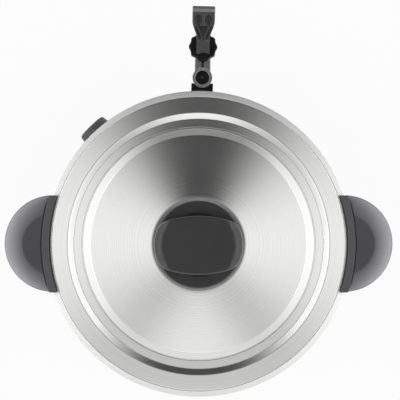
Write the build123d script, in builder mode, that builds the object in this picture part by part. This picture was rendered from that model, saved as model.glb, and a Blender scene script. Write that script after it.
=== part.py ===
from build123d import *
import os
from math import cos, radians, sin, sqrt

# Hot beverage boiler: a double walled steel pot on a plastic base, with a lid, two side handles,
# a lever tap with a level gauge, and a thermostat.
# Millimetres, +Z up, origin on the pot's axis at the surface it stands on. The tap points towards -Y,
# and the right handle lies near +X.

# Clearances
seat_gap = 0.1
screw_gap = 0.2
slide_gap = 0.3
running_gap = 0.05
overrun = 5.0

# Pot and outer shell
pot_r = 119.5
pot_wall = 1.0
pot_depth = 225.0
pot_corner = 1.5
pot_foot = 0.6
pot_lift = 30.0
wall_space = 8.5
shell_wall = 1.0
flange_overhang = 3.35
flange_bend = 4.0
bead_half_width = 2.65
bead_half_height = 1.6

# Base housing
base_fit = 0.5
base_wall = 3.0
base_height = 65.0
base_round = 2.0
skirt_drop = 3.0
ledge_drop = 8.0
ledge_wall = 3.0
ledge_width = 9.0
post_r = 5.0
post_count = 4
post_turn = 15.0

# Foot ring and base plate
foot_height = 8.0
foot_width = 14.0
foot_inset = 15.0
tongue_width = 5.0
tongue_height = 1.5
plate_wall = 3.0
vent_length = 34.0
vent_width = 4.0
vent_inset = 22.0
vent_count = 12

# Heater under the pot
spreader_inset = 14.0
spreader_wall = 5.0
element_inset = 26.0
element_r = 4.0
element_arc = 320.0
tail_sleeve = 0.6
element_tail = 22.0
terminal_r = 1.6
terminal_length = 10.0
cutout_r = 8.0
cutout_height = 7.0
cutout_reach = 34.0
cutout_turn = 120.0
tab_width = 4.0
tab_wall = 0.8
tab_length = 8.0
stud_r = 3.0
stud_end = 1.0
stud_nut_flat = 10.0
stud_nut_height = 5.0
nut_sides = 6

# Screws: body radius, head radius, head height and the length that holds
screw_r = 2.0
screw_head_r = 3.4
screw_head = 2.2
screw_grip = 9.0

# Thermostat, its knob and the two lamps
control_turn = 45.5
boss_stand = 9.5
boss_foot = 10.0
boss_depth = 20.0
boss_round = 6.0
boss_room = 5.0
knob_base_r = 19.0
knob_end_r = 15.6
knob_length = 18.8
knob_gap = 0.6
knob_round = 2.5
knob_bore_depth = 14.0
pointer_width = 1.6
pointer_length = 9.0
pointer_depth = 0.8
pointer_inset = 3.0
thermostat_width = 34.0
thermostat_depth = 26.0
thermostat_screw_inset = 5.0
thermostat_screw_sink = 1.4
shaft_r = 3.0
shaft_room = 2.0
shaft_grip = 8.0
lamp_gap = 10.0
lamp_rise = 12.0
lamp_r = 4.0
lamp_rim_r = 5.5
lamp_rim = 1.2
lamp_dome = 1.8
lamp_depth = 12.0
bulb_r = 3.0
bulb_length = 44.0
capillary_r = 1.0
capillary_bend = 10.0
capillary_gap = 12.0
capillary_side = 12.0
capillary_run = 24.0

# Appliance inlet at the back
inlet_turn = 180.0
pad_stand = 3.5
pad_foot = 11.0
pad_depth = 14.0
pad_side_margin = 4.0
pad_top_margin = 6.0
inlet_mouth_width = 24.4
inlet_mouth_height = 16.4
inlet_mouth_depth = 20.0
inlet_wall = 1.8
inlet_floor = 4.5
inlet_ear = 10.0
inlet_brow = 4.0
inlet_flange_wall = 2.5
inlet_round = 3.0
inlet_screw_inset = 4.0
pin_width = 2.0
pin_height = 4.0
pin_length = 13.0
pin_side = 7.0
pin_rise = 2.0
pin_tail = 8.0

# Lid: a pressed sheet, its bands from the edge inwards and their heights over the rim
lid_wall = 0.8
lid_edge_gap = 0.3
lid_lip_width = 1.2
lid_band_inset = 3.2
lid_band_rise = 3.2
lid_wall_run = 5.0
lid_gutter_width = 7.6
lid_gutter_rise = 0.3
lid_gutter_fall = 1.2
lid_step_run = 1.0
lid_step_rise = 3.7
lid_shoulder_width = 8.2
lid_shoulder_rise = 5.5
lid_seat_margin = 4.2
lid_seat_rise = 20.0
lid_bend_shares = [5, 8, 1.5, 1.2, 2.5, 2.5, 2]

# Lid handle
knob_disc_r = 38.5
knob_disc_height = 7.0
knob_disc_dish = 3.5
knob_disc_round = 1.5
bar_half_width = 25.4
bar_gap = 15.0
bar_wall = 9.0
bar_leg = 11.0
bar_tunnel_round = 6.0
bar_end_round = 10.0
bar_bow_r = 90.0
bar_corner_round = 14.0
bar_edge_round = 1.4
lid_screw_inset = 5.5
lid_washer_margin = 5.5
lid_washer_wall = 1.5
lid_screw_grip = 8.0

# Side handles
handle_turn = 1.3
right_turn = 90.0
left_turn = 270.0
bracket_wall = 3.5
bracket_drop = 40.0
bracket_end_inset = 0.2
bracket_sweep = 50.0
lip_clear = 1.6
lip_wall = 2.0
lip_gap = 0.3
lip_bevel = 0.7
grip_centre_out = 0.5
grip_r = 43.3
grip_flank = 17.3
grip_sink = 0.6
grip_dish = 0.7
grip_fall = 15.0
grip_bulge = 2.6
grip_edge = 8.0
grip_wall = 3.5
grip_web = 3.5
seam_width = 0.9
seam_depth = 2.5
grip_boss_r = 4.5
grip_boss_tip = 3.0
handle_screw_turn = 10.0
handle_screw_drop = 12.0

# Tap
tap_floor_gap = 8.0
shank_r = 8.0
shank_wall = 3.5
shank_end = 2.0
seal_wall = 2.0
seal_inset = 1.0
spacer_wall = 4.0
collar_step = 6.0
collar_wall = 4.0
tap_nut_wall = 4.0
tap_nut_height = 6.0
barrel_length = 41.7
valve_r = 12.0
valve_drop = 12.0
valve_rise = 13.0
neck_step = 1.5
neck_wall = 1.5
neck_height = 9.0
seat_drop = 5.0
seat_land = 1.5
spout_wall = 2.5
spout_end_wall = 1.5
spout_length = 22.0
bonnet_wall = 2.8
bonnet_height = 16.0
bonnet_top_wall = 3.0
bonnet_round = 1.2
lobe_count = 10
lobe_r = 3.2
lobe_rise = 0.9
stem_r = 2.2
cup_room = 2.5
cup_height = 11.0
cup_floor = 3.0
spring_room = 2.8
spring_wire_r = 0.6
spring_turns = 5
lever_pin_r = 1.5
pin_over_bonnet = 7.0
eye_r = 4.0
eye_width = 5.0
lever_throw = 30.0
stem_travel = 3.0
lever_angle = 38.0
lever_length = 45.6
lever_wall = 6.0
lever_tip_wall = 3.6
lever_lip_rise = 0.6
lever_lip_wall = 3.8
lever_heel_width = 13.0
lever_paddle_width = 22.0
lever_heel_back = 7.8
lever_heel_top = 6.0
lever_heel_round = 2.0
lever_neck_reach = 9.0
lever_paddle_reach = 23.0
lever_arm_start = 14.0
lever_frame_wall = 1.8
lever_rib = 2.0
lever_pocket_depth = 2.4
lever_rib_slope = 6.0

# Level gauge
gauge_stand = 19.8
gauge_top_drop = 25.0
gauge_r = 9.0
gauge_wall = 2.6
gauge_shoulder = 1.5
gauge_block_drop = 11.0
gauge_block_rise = 10.0
spigot_height = 14.0
spigot_wall = 3.3
gauge_seal_height = 4.0
gauge_seal_wall = 1.2
plug_length = 8.0
plug_sink = 0.6
vent_hole_r = 1.1
cradle_wall = 0.8
cradle_hug = 3.8
cradle_back = 4.0
gauge_bracket_height = 16.0
gauge_bracket_drop = 3.0
bracket_screw_space = 2.2

# Radii and reaches from the pot's axis, worked out from the sizes above
pot_outer_r = pot_r + pot_wall
shell_inner_r = pot_outer_r + wall_space
shell_r = shell_inner_r + shell_wall
flange_r = shell_r + flange_overhang
rim_outer_r = flange_r + bead_half_width
base_inner_r = shell_r + base_fit
base_r = base_inner_r + base_wall
plate_r = base_inner_r - slide_gap
ledge_inner_r = base_inner_r - ledge_width
post_ring_r = base_inner_r - ledge_width / 2
foot_outer_r = plate_r - foot_inset
foot_inner_r = foot_outer_r - foot_width
foot_mid_r = (foot_outer_r + foot_inner_r) / 2
vent_mid_r = foot_inner_r - vent_inset - vent_length / 2
pot_floor_r = pot_r - pot_corner - pot_foot
spreader_r = pot_r - pot_corner - spreader_inset
element_ring_r = spreader_r - element_inset
boss_reach = base_r + boss_stand
boss_inner_reach = boss_reach - base_wall
knob_reach = boss_reach + knob_gap
capillary_reach = element_ring_r - element_r - capillary_gap
pad_reach = base_r + pad_stand
lid_r = flange_r - bead_half_width - lid_edge_gap
lid_band_inner_r = pot_r - lid_band_inset
lid_gutter_outer_r = lid_band_inner_r - lid_wall_run
lid_gutter_inner_r = lid_gutter_outer_r - lid_gutter_width
lid_step_r = lid_gutter_inner_r - lid_step_run
lid_shoulder_r = lid_step_r - lid_shoulder_width
lid_seat_r = knob_disc_r + lid_seat_margin
lid_screw_side = knob_disc_r - lid_screw_inset
bar_tunnel_half = knob_disc_r - bar_leg
lip_inner_r = lid_r + lip_clear
bracket_outer_r = rim_outer_r + bracket_wall
grip_centre_r = shell_r + grip_centre_out
grip_top_r = grip_r - grip_flank
gauge_reach = shell_r + gauge_stand
valve_reach = gauge_reach + barrel_length

# Other sizes that follow from them
boss_height = thermostat_width + 2 * (base_wall + boss_room)
lamp_side = knob_base_r + lamp_gap
boss_width = 2 * (lamp_side + lamp_rim_r + boss_room)
shaft_hole_r = shaft_r + shaft_room
thermostat_screw_side = thermostat_width / 2 - thermostat_screw_inset
inlet_body_width = inlet_mouth_width + 2 * inlet_wall
inlet_body_height = inlet_mouth_height + 2 * inlet_wall
inlet_body_depth = inlet_mouth_depth - inlet_flange_wall + inlet_floor
inlet_flange_width = inlet_body_width + 2 * inlet_ear
inlet_flange_height = inlet_body_height + 2 * inlet_brow
inlet_screw_side = inlet_flange_width / 2 - inlet_screw_inset
pad_width = inlet_flange_width + 2 * pad_side_margin
pad_height = inlet_flange_height + 2 * pad_top_margin
handle_half_width = grip_r - bracket_end_inset
flow_r = shank_r - shank_wall
collar_r = shank_r + collar_step
seal_r = collar_r - seal_inset
spacer_r = shank_r + spacer_wall
tap_nut_flat = 2 * (shank_r + tap_nut_wall)
neck_r = valve_r - neck_step
chamber_r = neck_r - neck_wall
cup_r = chamber_r - cup_room
outlet_r = cup_r - seat_land
spout_r = outlet_r + spout_wall
spout_end_r = outlet_r + spout_end_wall
bonnet_r = neck_r + bonnet_wall
spring_r = stem_r + spring_room
gauge_inner_r = gauge_r - gauge_wall
gauge_block_r = gauge_r + gauge_shoulder
spigot_flow_r = gauge_inner_r - seat_gap - spigot_wall
gauge_bracket_width = 2 * (gauge_r + cradle_wall)
gauge_bracket_reach = gauge_reach - gauge_r + cradle_hug
bracket_screw_pitch = 2 * screw_head_r + bracket_screw_space
bracket_screw_grip = gauge_stand - gauge_r - cradle_back

# Heights over the floor
plate_z = foot_height
base_z = plate_z - skirt_drop
ledge_z = base_z + base_height - ledge_drop
control_z = base_z + boss_foot + boss_height / 2
inlet_z = base_z + pad_foot + pad_height / 2
floor_z = ledge_z + pot_lift
rim_z = floor_z + pot_depth
spreader_z = floor_z - pot_wall - spreader_wall
tap_z = floor_z + tap_floor_gap + seal_r
bonnet_top_z = tap_z + valve_rise + bonnet_height
lever_pin_z = bonnet_top_z + pin_over_bonnet
gauge_top_z = rim_z - gauge_top_drop
gauge_foot_z = tap_z + gauge_block_rise
seat_z = tap_z - seat_drop
lid_seat_z = rim_z + lid_seat_rise
bar_foot_z = lid_seat_z + knob_disc_height
bar_top_z = bar_foot_z + bar_gap + bar_wall
lip_z = rim_z + bead_half_height + lip_gap
grip_top_z = lip_z + lip_wall - grip_sink
handle_screw_z = rim_z - handle_screw_drop

# Places of pieces that come in twos
lamp_places = {"ready_lamp": -lamp_side, "heating_lamp": lamp_side}
handle_turns = {"right": right_turn + handle_turn, "left": left_turn + handle_turn}
lid_plane = Plane.XY.rotated((0, 0, handle_turn))


def radial_plane(turn, reach, height, side=0):
    """A plane facing away from the pot's axis, turn degrees round from the tap: x runs sideways, y up."""
    out = Vector(0, -1, 0).rotate(Axis.Z, turn)
    across = Vector(1, 0, 0).rotate(Axis.Z, turn)
    return Plane(origin=out * reach + across * side + Vector(0, 0, height), x_dir=across, z_dir=out)


def keep(piece, name):
    """Label one finished piece and write it under its own name."""
    piece.label = name
    export_step(piece, f"parts/{name}.step")


def ring_sketch(outer_r, inner_r):
    """A flat ring, drawn in the sketch that is open."""
    Circle(outer_r)
    Circle(inner_r, mode=Mode.SUBTRACT)


def closed_section(points, radii):
    """A filled outline with rounded corners, drawn in the sketch that is open."""
    with BuildLine() as outline:
        FilletPolyline(*points, radius=radii, close=True)
    make_face(outline.edges())


def screw_along(plane, length, body_r, head_r, head):
    """One plain screw: its head stands behind the plane and its body runs out along the plane's normal."""
    with BuildSketch(plane) as head_face:
        Circle(head_r)
    extrude(head_face.sketch, amount=-head)
    with BuildSketch(plane) as body_face:
        Circle(body_r)
    extrude(body_face.sketch, amount=length)


os.makedirs("parts", exist_ok=True)

# Foot ring: rubber, with a tongue that sits in a groove of the base plate
with BuildPart() as foot_ring:
    with BuildSketch(Plane.XY):
        ring_sketch(foot_outer_r, foot_inner_r)
    extrude(amount=foot_height)
    with BuildSketch(Plane.XY.offset(foot_height)):
        ring_sketch(foot_mid_r + tongue_width / 2, foot_mid_r - tongue_width / 2)
    extrude(amount=tongue_height)
keep(foot_ring.part, "foot_ring")

# Base plate: closes the housing from below, with vents round the tie stud
with BuildPart() as base_plate:
    with BuildSketch(Plane.XY.offset(plate_z)):
        Circle(plate_r)
        Circle(stud_r + screw_gap, mode=Mode.SUBTRACT)
        with PolarLocations(post_ring_r, post_count, start_angle=post_turn):
            Circle(screw_r + screw_gap, mode=Mode.SUBTRACT)
        with PolarLocations(vent_mid_r, vent_count):
            SlotOverall(vent_length, vent_width, mode=Mode.SUBTRACT)
    extrude(amount=plate_wall)
    with BuildSketch(Plane.XY.offset(plate_z)):
        ring_sketch(foot_mid_r + tongue_width / 2 + seat_gap, foot_mid_r - tongue_width / 2 - seat_gap)
    extrude(amount=tongue_height + seat_gap, mode=Mode.SUBTRACT)
keep(base_plate.part, "base_plate")

# Base housing: a ring wall with a ledge for the shell, screw posts, a control boss and an inlet pad
post_z = plate_z + plate_wall
ledge_under_z = ledge_z - ledge_wall
with BuildPart() as base_housing:
    with BuildSketch(Plane.XZ):
        top_z = base_z + base_height
        points = [
            (base_inner_r, base_z),
            (base_r, base_z),
            (base_r, top_z),
            (base_inner_r, top_z),
            (base_inner_r, ledge_z),
            (ledge_inner_r, ledge_z),
            (ledge_inner_r, ledge_under_z),
            (base_inner_r, ledge_under_z),
        ]
        closed_section(points, [0, base_round, base_round, 0, 0, 0, 0, 0])
    revolve(axis=Axis.Z)
    with BuildSketch(Plane.XY.offset(post_z)):
        with PolarLocations(post_ring_r, post_count, start_angle=post_turn):
            Circle(post_r)
    extrude(amount=ledge_under_z - post_z)
    with BuildSketch(radial_plane(control_turn, boss_reach, control_z)):
        RectangleRounded(boss_width, boss_height, boss_round)
    extrude(amount=-boss_depth)
    with BuildSketch(radial_plane(inlet_turn, pad_reach, inlet_z)):
        RectangleRounded(pad_width, pad_height, boss_round)
    extrude(amount=-pad_depth)
    with BuildSketch(radial_plane(control_turn, boss_reach - base_wall, control_z)):
        Rectangle(boss_width - 2 * base_wall, boss_height - 2 * base_wall)
    extrude(amount=-boss_depth, mode=Mode.SUBTRACT)
    with BuildSketch(radial_plane(control_turn, boss_reach, control_z)):
        Circle(shaft_hole_r)
        with Locations((-thermostat_screw_side, 0), (thermostat_screw_side, 0)):
            Circle(screw_r + screw_gap)
        with Locations((-lamp_side, lamp_rise), (lamp_side, lamp_rise)):
            Circle(lamp_r + seat_gap)
    extrude(amount=-base_wall - overrun, mode=Mode.SUBTRACT)
    with BuildSketch(radial_plane(control_turn, boss_reach, control_z)):
        with Locations((-thermostat_screw_side, 0), (thermostat_screw_side, 0)):
            Circle(screw_head_r + screw_gap)
    extrude(amount=-thermostat_screw_sink, mode=Mode.SUBTRACT)
    with BuildSketch(radial_plane(inlet_turn, pad_reach, inlet_z)):
        Rectangle(inlet_body_width + 2 * slide_gap, inlet_body_height + 2 * slide_gap)
        with Locations((-inlet_screw_side, 0), (inlet_screw_side, 0)):
            Circle(screw_r + screw_gap)
    extrude(amount=-pad_depth - overrun, mode=Mode.SUBTRACT)
    with BuildSketch(Plane.XY.offset(post_z)):
        with PolarLocations(post_ring_r, post_count, start_angle=post_turn):
            Circle(screw_r + seat_gap)
    extrude(amount=screw_grip + seat_gap, mode=Mode.SUBTRACT)
    with BuildSketch(Plane.XY.offset(ledge_z)):
        Circle(base_inner_r)
    extrude(amount=ledge_drop + overrun, mode=Mode.SUBTRACT)
keep(base_housing.part, "base_housing")

# Screws that hold the base plate to the posts
with BuildPart() as base_screws:
    with BuildSketch(Plane.XY.offset(plate_z)):
        with PolarLocations(post_ring_r, post_count, start_angle=post_turn):
            Circle(screw_head_r)
    extrude(amount=-screw_head)
    with BuildSketch(Plane.XY.offset(plate_z)):
        with PolarLocations(post_ring_r, post_count, start_angle=post_turn):
            Circle(screw_r)
    extrude(amount=plate_wall + screw_grip)
keep(base_screws.part, "base_screws")

# Outer shell: a steel tube from the ledge to the pot's flange
bracket_z = gauge_top_z - gauge_bracket_drop - gauge_bracket_height / 2
bracket_screw_zs = [bracket_z - bracket_screw_pitch / 2, bracket_z + bracket_screw_pitch / 2]
handle_screw_planes = [
    radial_plane(turn + side * handle_screw_turn, shell_inner_r - seat_gap, handle_screw_z)
    for turn in handle_turns.values()
    for side in (-1, 1)
]
with BuildPart() as outer_shell:
    with BuildSketch(Plane.XY.offset(ledge_z)):
        ring_sketch(shell_r, shell_inner_r)
    extrude(amount=rim_z - pot_wall - ledge_z)
    with BuildSketch(radial_plane(0, shell_inner_r - overrun, tap_z)):
        Circle(shank_r + slide_gap)
    extrude(amount=shell_wall + 2 * overrun, mode=Mode.SUBTRACT)
    for z in bracket_screw_zs:
        with BuildSketch(radial_plane(0, shell_inner_r - overrun, z)):
            Circle(screw_r + screw_gap)
        extrude(amount=shell_wall + 2 * overrun, mode=Mode.SUBTRACT)
    for plane in handle_screw_planes:
        with BuildSketch(plane):
            Circle(screw_r + screw_gap)
        extrude(amount=shell_wall + overrun, mode=Mode.SUBTRACT)
keep(outer_shell.part, "outer_shell")

# Inner pot: a rolled wall with a turned-in foot, a wide flange and a rolled bead at its edge
with BuildPart() as inner_pot:
    with BuildSketch(Plane.XZ):
        with BuildLine():
            FilletPolyline(
                (pot_floor_r, floor_z),
                (pot_r, floor_z),
                (pot_r, rim_z),
                (flange_r, rim_z),
                radius=[pot_corner, flange_bend],
            )
            offset(amount=pot_wall, side=Side.RIGHT)
        make_face()
        with Locations((flange_r, rim_z - pot_wall / 2)):
            Ellipse(bead_half_width, bead_half_height)
    revolve(axis=Axis.Z)
    with BuildSketch(radial_plane(0, pot_r - pot_corner, tap_z)):
        Circle(shank_r + slide_gap)
    extrude(amount=pot_corner + pot_wall + overrun, mode=Mode.SUBTRACT)
keep(inner_pot.part, "inner_pot")

# Pot floor: a disc, butt-welded into the wall's foot
with BuildPart() as pot_floor:
    with BuildSketch(Plane.XY.offset(floor_z - pot_wall)):
        Circle(pot_floor_r)
    extrude(amount=pot_wall)
keep(pot_floor.part, "pot_floor")

# Heat spreader: an aluminium disc under the pot's floor
with BuildPart() as heat_spreader:
    with BuildSketch(Plane.XY.offset(spreader_z)):
        Circle(spreader_r)
    extrude(amount=spreader_wall)
keep(heat_spreader.part, "heat_spreader")

# Heating element: a tubular ring with two tails that carry the terminals
element_z = spreader_z - element_r - seat_gap
with BuildPart() as heating_element:
    with BuildSketch(Plane.XZ):
        with Locations((element_ring_r, element_z)):
            Circle(element_r)
    revolve(axis=Axis.Z, revolution_arc=element_arc)
    for turn in (0, element_arc):
        tail_plane = Plane(Vector(element_ring_r, 0, element_z).rotate(Axis.Z, turn))
        with BuildSketch(tail_plane.offset(element_r)):
            Circle(element_r + tail_sleeve)
        extrude(amount=-element_r - element_tail)
        with BuildSketch(tail_plane.offset(-element_tail)):
            Circle(terminal_r)
        extrude(amount=-terminal_length)
keep(heating_element.part, "heating_element")

# Thermal cut-out: a disc thermostat with two tabs under the spreader
cutout_plane = Plane(Vector(cutout_reach, 0, spreader_z).rotate(Axis.Z, cutout_turn))
with BuildPart() as thermal_cutout:
    with BuildSketch(cutout_plane):
        Circle(cutout_r)
    extrude(amount=-cutout_height)
    with BuildSketch(cutout_plane.offset(-cutout_height)):
        with Locations((-cutout_r / 2, 0), (cutout_r / 2, 0)):
            Rectangle(tab_wall, tab_width)
    extrude(amount=-tab_length)
keep(thermal_cutout.part, "thermal_cutout")

# Tie stud and nut: pull the base plate up to the spreader
with BuildPart() as tie_stud:
    with BuildSketch(Plane.XY.offset(plate_z - stud_nut_height - stud_end)):
        Circle(stud_r)
    extrude(amount=spreader_z - plate_z + stud_nut_height + stud_end)
keep(tie_stud.part, "tie_stud")

with BuildPart() as tie_nut:
    with BuildSketch(Plane.XY.offset(plate_z)):
        RegularPolygon(stud_nut_flat / 2, nut_sides, major_radius=False)
        Circle(stud_r + seat_gap, mode=Mode.SUBTRACT)
    extrude(amount=-stud_nut_height)
keep(tie_nut.part, "tie_nut")

# Thermostat body behind the control boss
with BuildPart() as thermostat_body:
    with BuildSketch(radial_plane(control_turn, boss_inner_reach, control_z)):
        RectangleRounded(thermostat_width, thermostat_width, boss_round)
    extrude(amount=-thermostat_depth)
    with BuildSketch(radial_plane(control_turn, boss_inner_reach, control_z)):
        Circle(shaft_r + running_gap)
    extrude(amount=-shaft_grip - seat_gap, mode=Mode.SUBTRACT)
    with BuildSketch(radial_plane(control_turn, boss_inner_reach, control_z)):
        with Locations((-thermostat_screw_side, 0), (thermostat_screw_side, 0)):
            Circle(screw_r + seat_gap)
    extrude(amount=-screw_grip - seat_gap, mode=Mode.SUBTRACT)
keep(thermostat_body.part, "thermostat_body")

with BuildPart() as thermostat_screws:
    for side in (-thermostat_screw_side, thermostat_screw_side):
        head_plane = radial_plane(control_turn, boss_reach, control_z, side)
        with BuildSketch(head_plane.offset(-thermostat_screw_sink)):
            Circle(screw_head_r)
        extrude(amount=thermostat_screw_sink)
        with BuildSketch(head_plane.offset(-thermostat_screw_sink)):
            Circle(screw_r)
        extrude(amount=thermostat_screw_sink - base_wall - screw_grip)
keep(thermostat_screws.part, "thermostat_screws")

# Thermostat shaft and its tapered knob turn together
with BuildPart() as thermostat_shaft:
    with BuildSketch(radial_plane(control_turn, boss_inner_reach - shaft_grip, control_z)):
        Circle(shaft_r)
    extrude(amount=shaft_grip + base_wall + knob_gap + knob_bore_depth)
keep(thermostat_shaft.part, "thermostat_shaft")

with BuildPart() as thermostat_knob:
    with BuildSketch(radial_plane(control_turn, knob_reach, control_z)):
        Circle(knob_base_r)
    with BuildSketch(radial_plane(control_turn, knob_reach + knob_length, control_z)):
        Circle(knob_end_r)
    loft()
    end_axis = Axis(Vector(0, 0, 0), Vector(0, -1, 0).rotate(Axis.Z, control_turn))
    fillet(thermostat_knob.edges().sort_by(end_axis)[-1], knob_round)
    with BuildSketch(radial_plane(control_turn, knob_reach, control_z)):
        Circle(shaft_r + seat_gap)
    extrude(amount=knob_bore_depth + seat_gap, mode=Mode.SUBTRACT)
    with BuildSketch(radial_plane(control_turn, knob_reach + knob_length, control_z)):
        with Locations((0, knob_end_r - pointer_inset - pointer_length / 2)):
            Rectangle(pointer_width, pointer_length)
    extrude(amount=-pointer_depth, mode=Mode.SUBTRACT)
keep(thermostat_knob.part, "thermostat_knob")

# Sensor bulb under the spreader, on a capillary that comes from the thermostat body
bulb_z = spreader_z - bulb_r - seat_gap
with BuildPart() as thermostat_sensor:
    start = radial_plane(control_turn, boss_inner_reach - thermostat_depth, control_z, -capillary_side)
    turn_point = radial_plane(control_turn, capillary_reach, control_z, -capillary_side).origin
    rise_point = radial_plane(control_turn, capillary_reach, bulb_z, -capillary_side).origin
    bulb_start = radial_plane(control_turn, capillary_reach - capillary_run, bulb_z, -capillary_side)
    with BuildLine() as capillary_path:
        FilletPolyline(start.origin, turn_point, rise_point, bulb_start.origin, radius=capillary_bend)
    with BuildSketch(start):
        Circle(capillary_r)
    sweep(path=capillary_path.wires()[0])
    with BuildSketch(bulb_start):
        Circle(bulb_r)
    extrude(amount=-bulb_length)
keep(thermostat_sensor.part, "thermostat_sensor")

# Lamp lenses in the control boss
for lamp_name, side in lamp_places.items():
    lens_plane = radial_plane(control_turn, boss_reach, control_z + lamp_rise, side)
    with BuildPart() as lamp:
        with BuildSketch(lens_plane):
            Circle(lamp_rim_r)
        extrude(amount=lamp_rim)
        with BuildSketch(lens_plane.offset(lamp_rim)):
            Circle(lamp_r)
        extrude(amount=lamp_dome)
        out = lens_plane.z_dir
        fillet(lamp.edges().sort_by(Axis(Vector(0, 0, 0), out))[-1], lamp_dome / 2)
        with BuildSketch(lens_plane):
            Circle(lamp_r)
        extrude(amount=-lamp_depth)
    keep(lamp.part, lamp_name)

# Appliance inlet: flange, body with its mouth, three pins and two screws
inlet_plane = radial_plane(inlet_turn, pad_reach, inlet_z)
inlet_pin_places = [(-pin_side, -pin_rise), (0, pin_rise), (pin_side, -pin_rise)]
mouth_floor = inlet_plane.offset(inlet_flange_wall - inlet_mouth_depth)
with BuildPart() as inlet_socket:
    with BuildSketch(inlet_plane):
        RectangleRounded(inlet_flange_width, inlet_flange_height, inlet_round)
    extrude(amount=inlet_flange_wall)
    with BuildSketch(inlet_plane):
        Rectangle(inlet_body_width, inlet_body_height)
    extrude(amount=-inlet_body_depth)
    with BuildSketch(mouth_floor):
        RectangleRounded(inlet_mouth_width, inlet_mouth_height, inlet_round)
    extrude(amount=inlet_mouth_depth + overrun, mode=Mode.SUBTRACT)
    with BuildSketch(mouth_floor):
        with Locations(*inlet_pin_places):
            Rectangle(pin_width + 2 * seat_gap, pin_height + 2 * seat_gap)
    extrude(amount=-inlet_body_depth, mode=Mode.SUBTRACT)
    with BuildSketch(inlet_plane):
        with Locations((-inlet_screw_side, 0), (inlet_screw_side, 0)):
            Circle(screw_r + screw_gap)
    extrude(amount=inlet_flange_wall, mode=Mode.SUBTRACT)
keep(inlet_socket.part, "inlet_socket")

with BuildPart() as inlet_pins:
    with BuildSketch(mouth_floor.offset(-inlet_body_depth + inlet_mouth_depth - inlet_flange_wall - pin_tail)):
        with Locations(*inlet_pin_places):
            Rectangle(pin_width, pin_height)
    extrude(amount=pin_tail + inlet_body_depth - inlet_mouth_depth + inlet_flange_wall + pin_length)
keep(inlet_pins.part, "inlet_pins")

with BuildPart() as inlet_screws:
    for side in (-inlet_screw_side, inlet_screw_side):
        head_plane = radial_plane(inlet_turn, pad_reach + inlet_flange_wall, inlet_z, side)
        with BuildSketch(head_plane):
            Circle(screw_head_r)
        extrude(amount=screw_head)
        with BuildSketch(head_plane):
            Circle(screw_r)
        extrude(amount=-inlet_flange_wall - screw_grip)
keep(inlet_screws.part, "inlet_screws")

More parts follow.
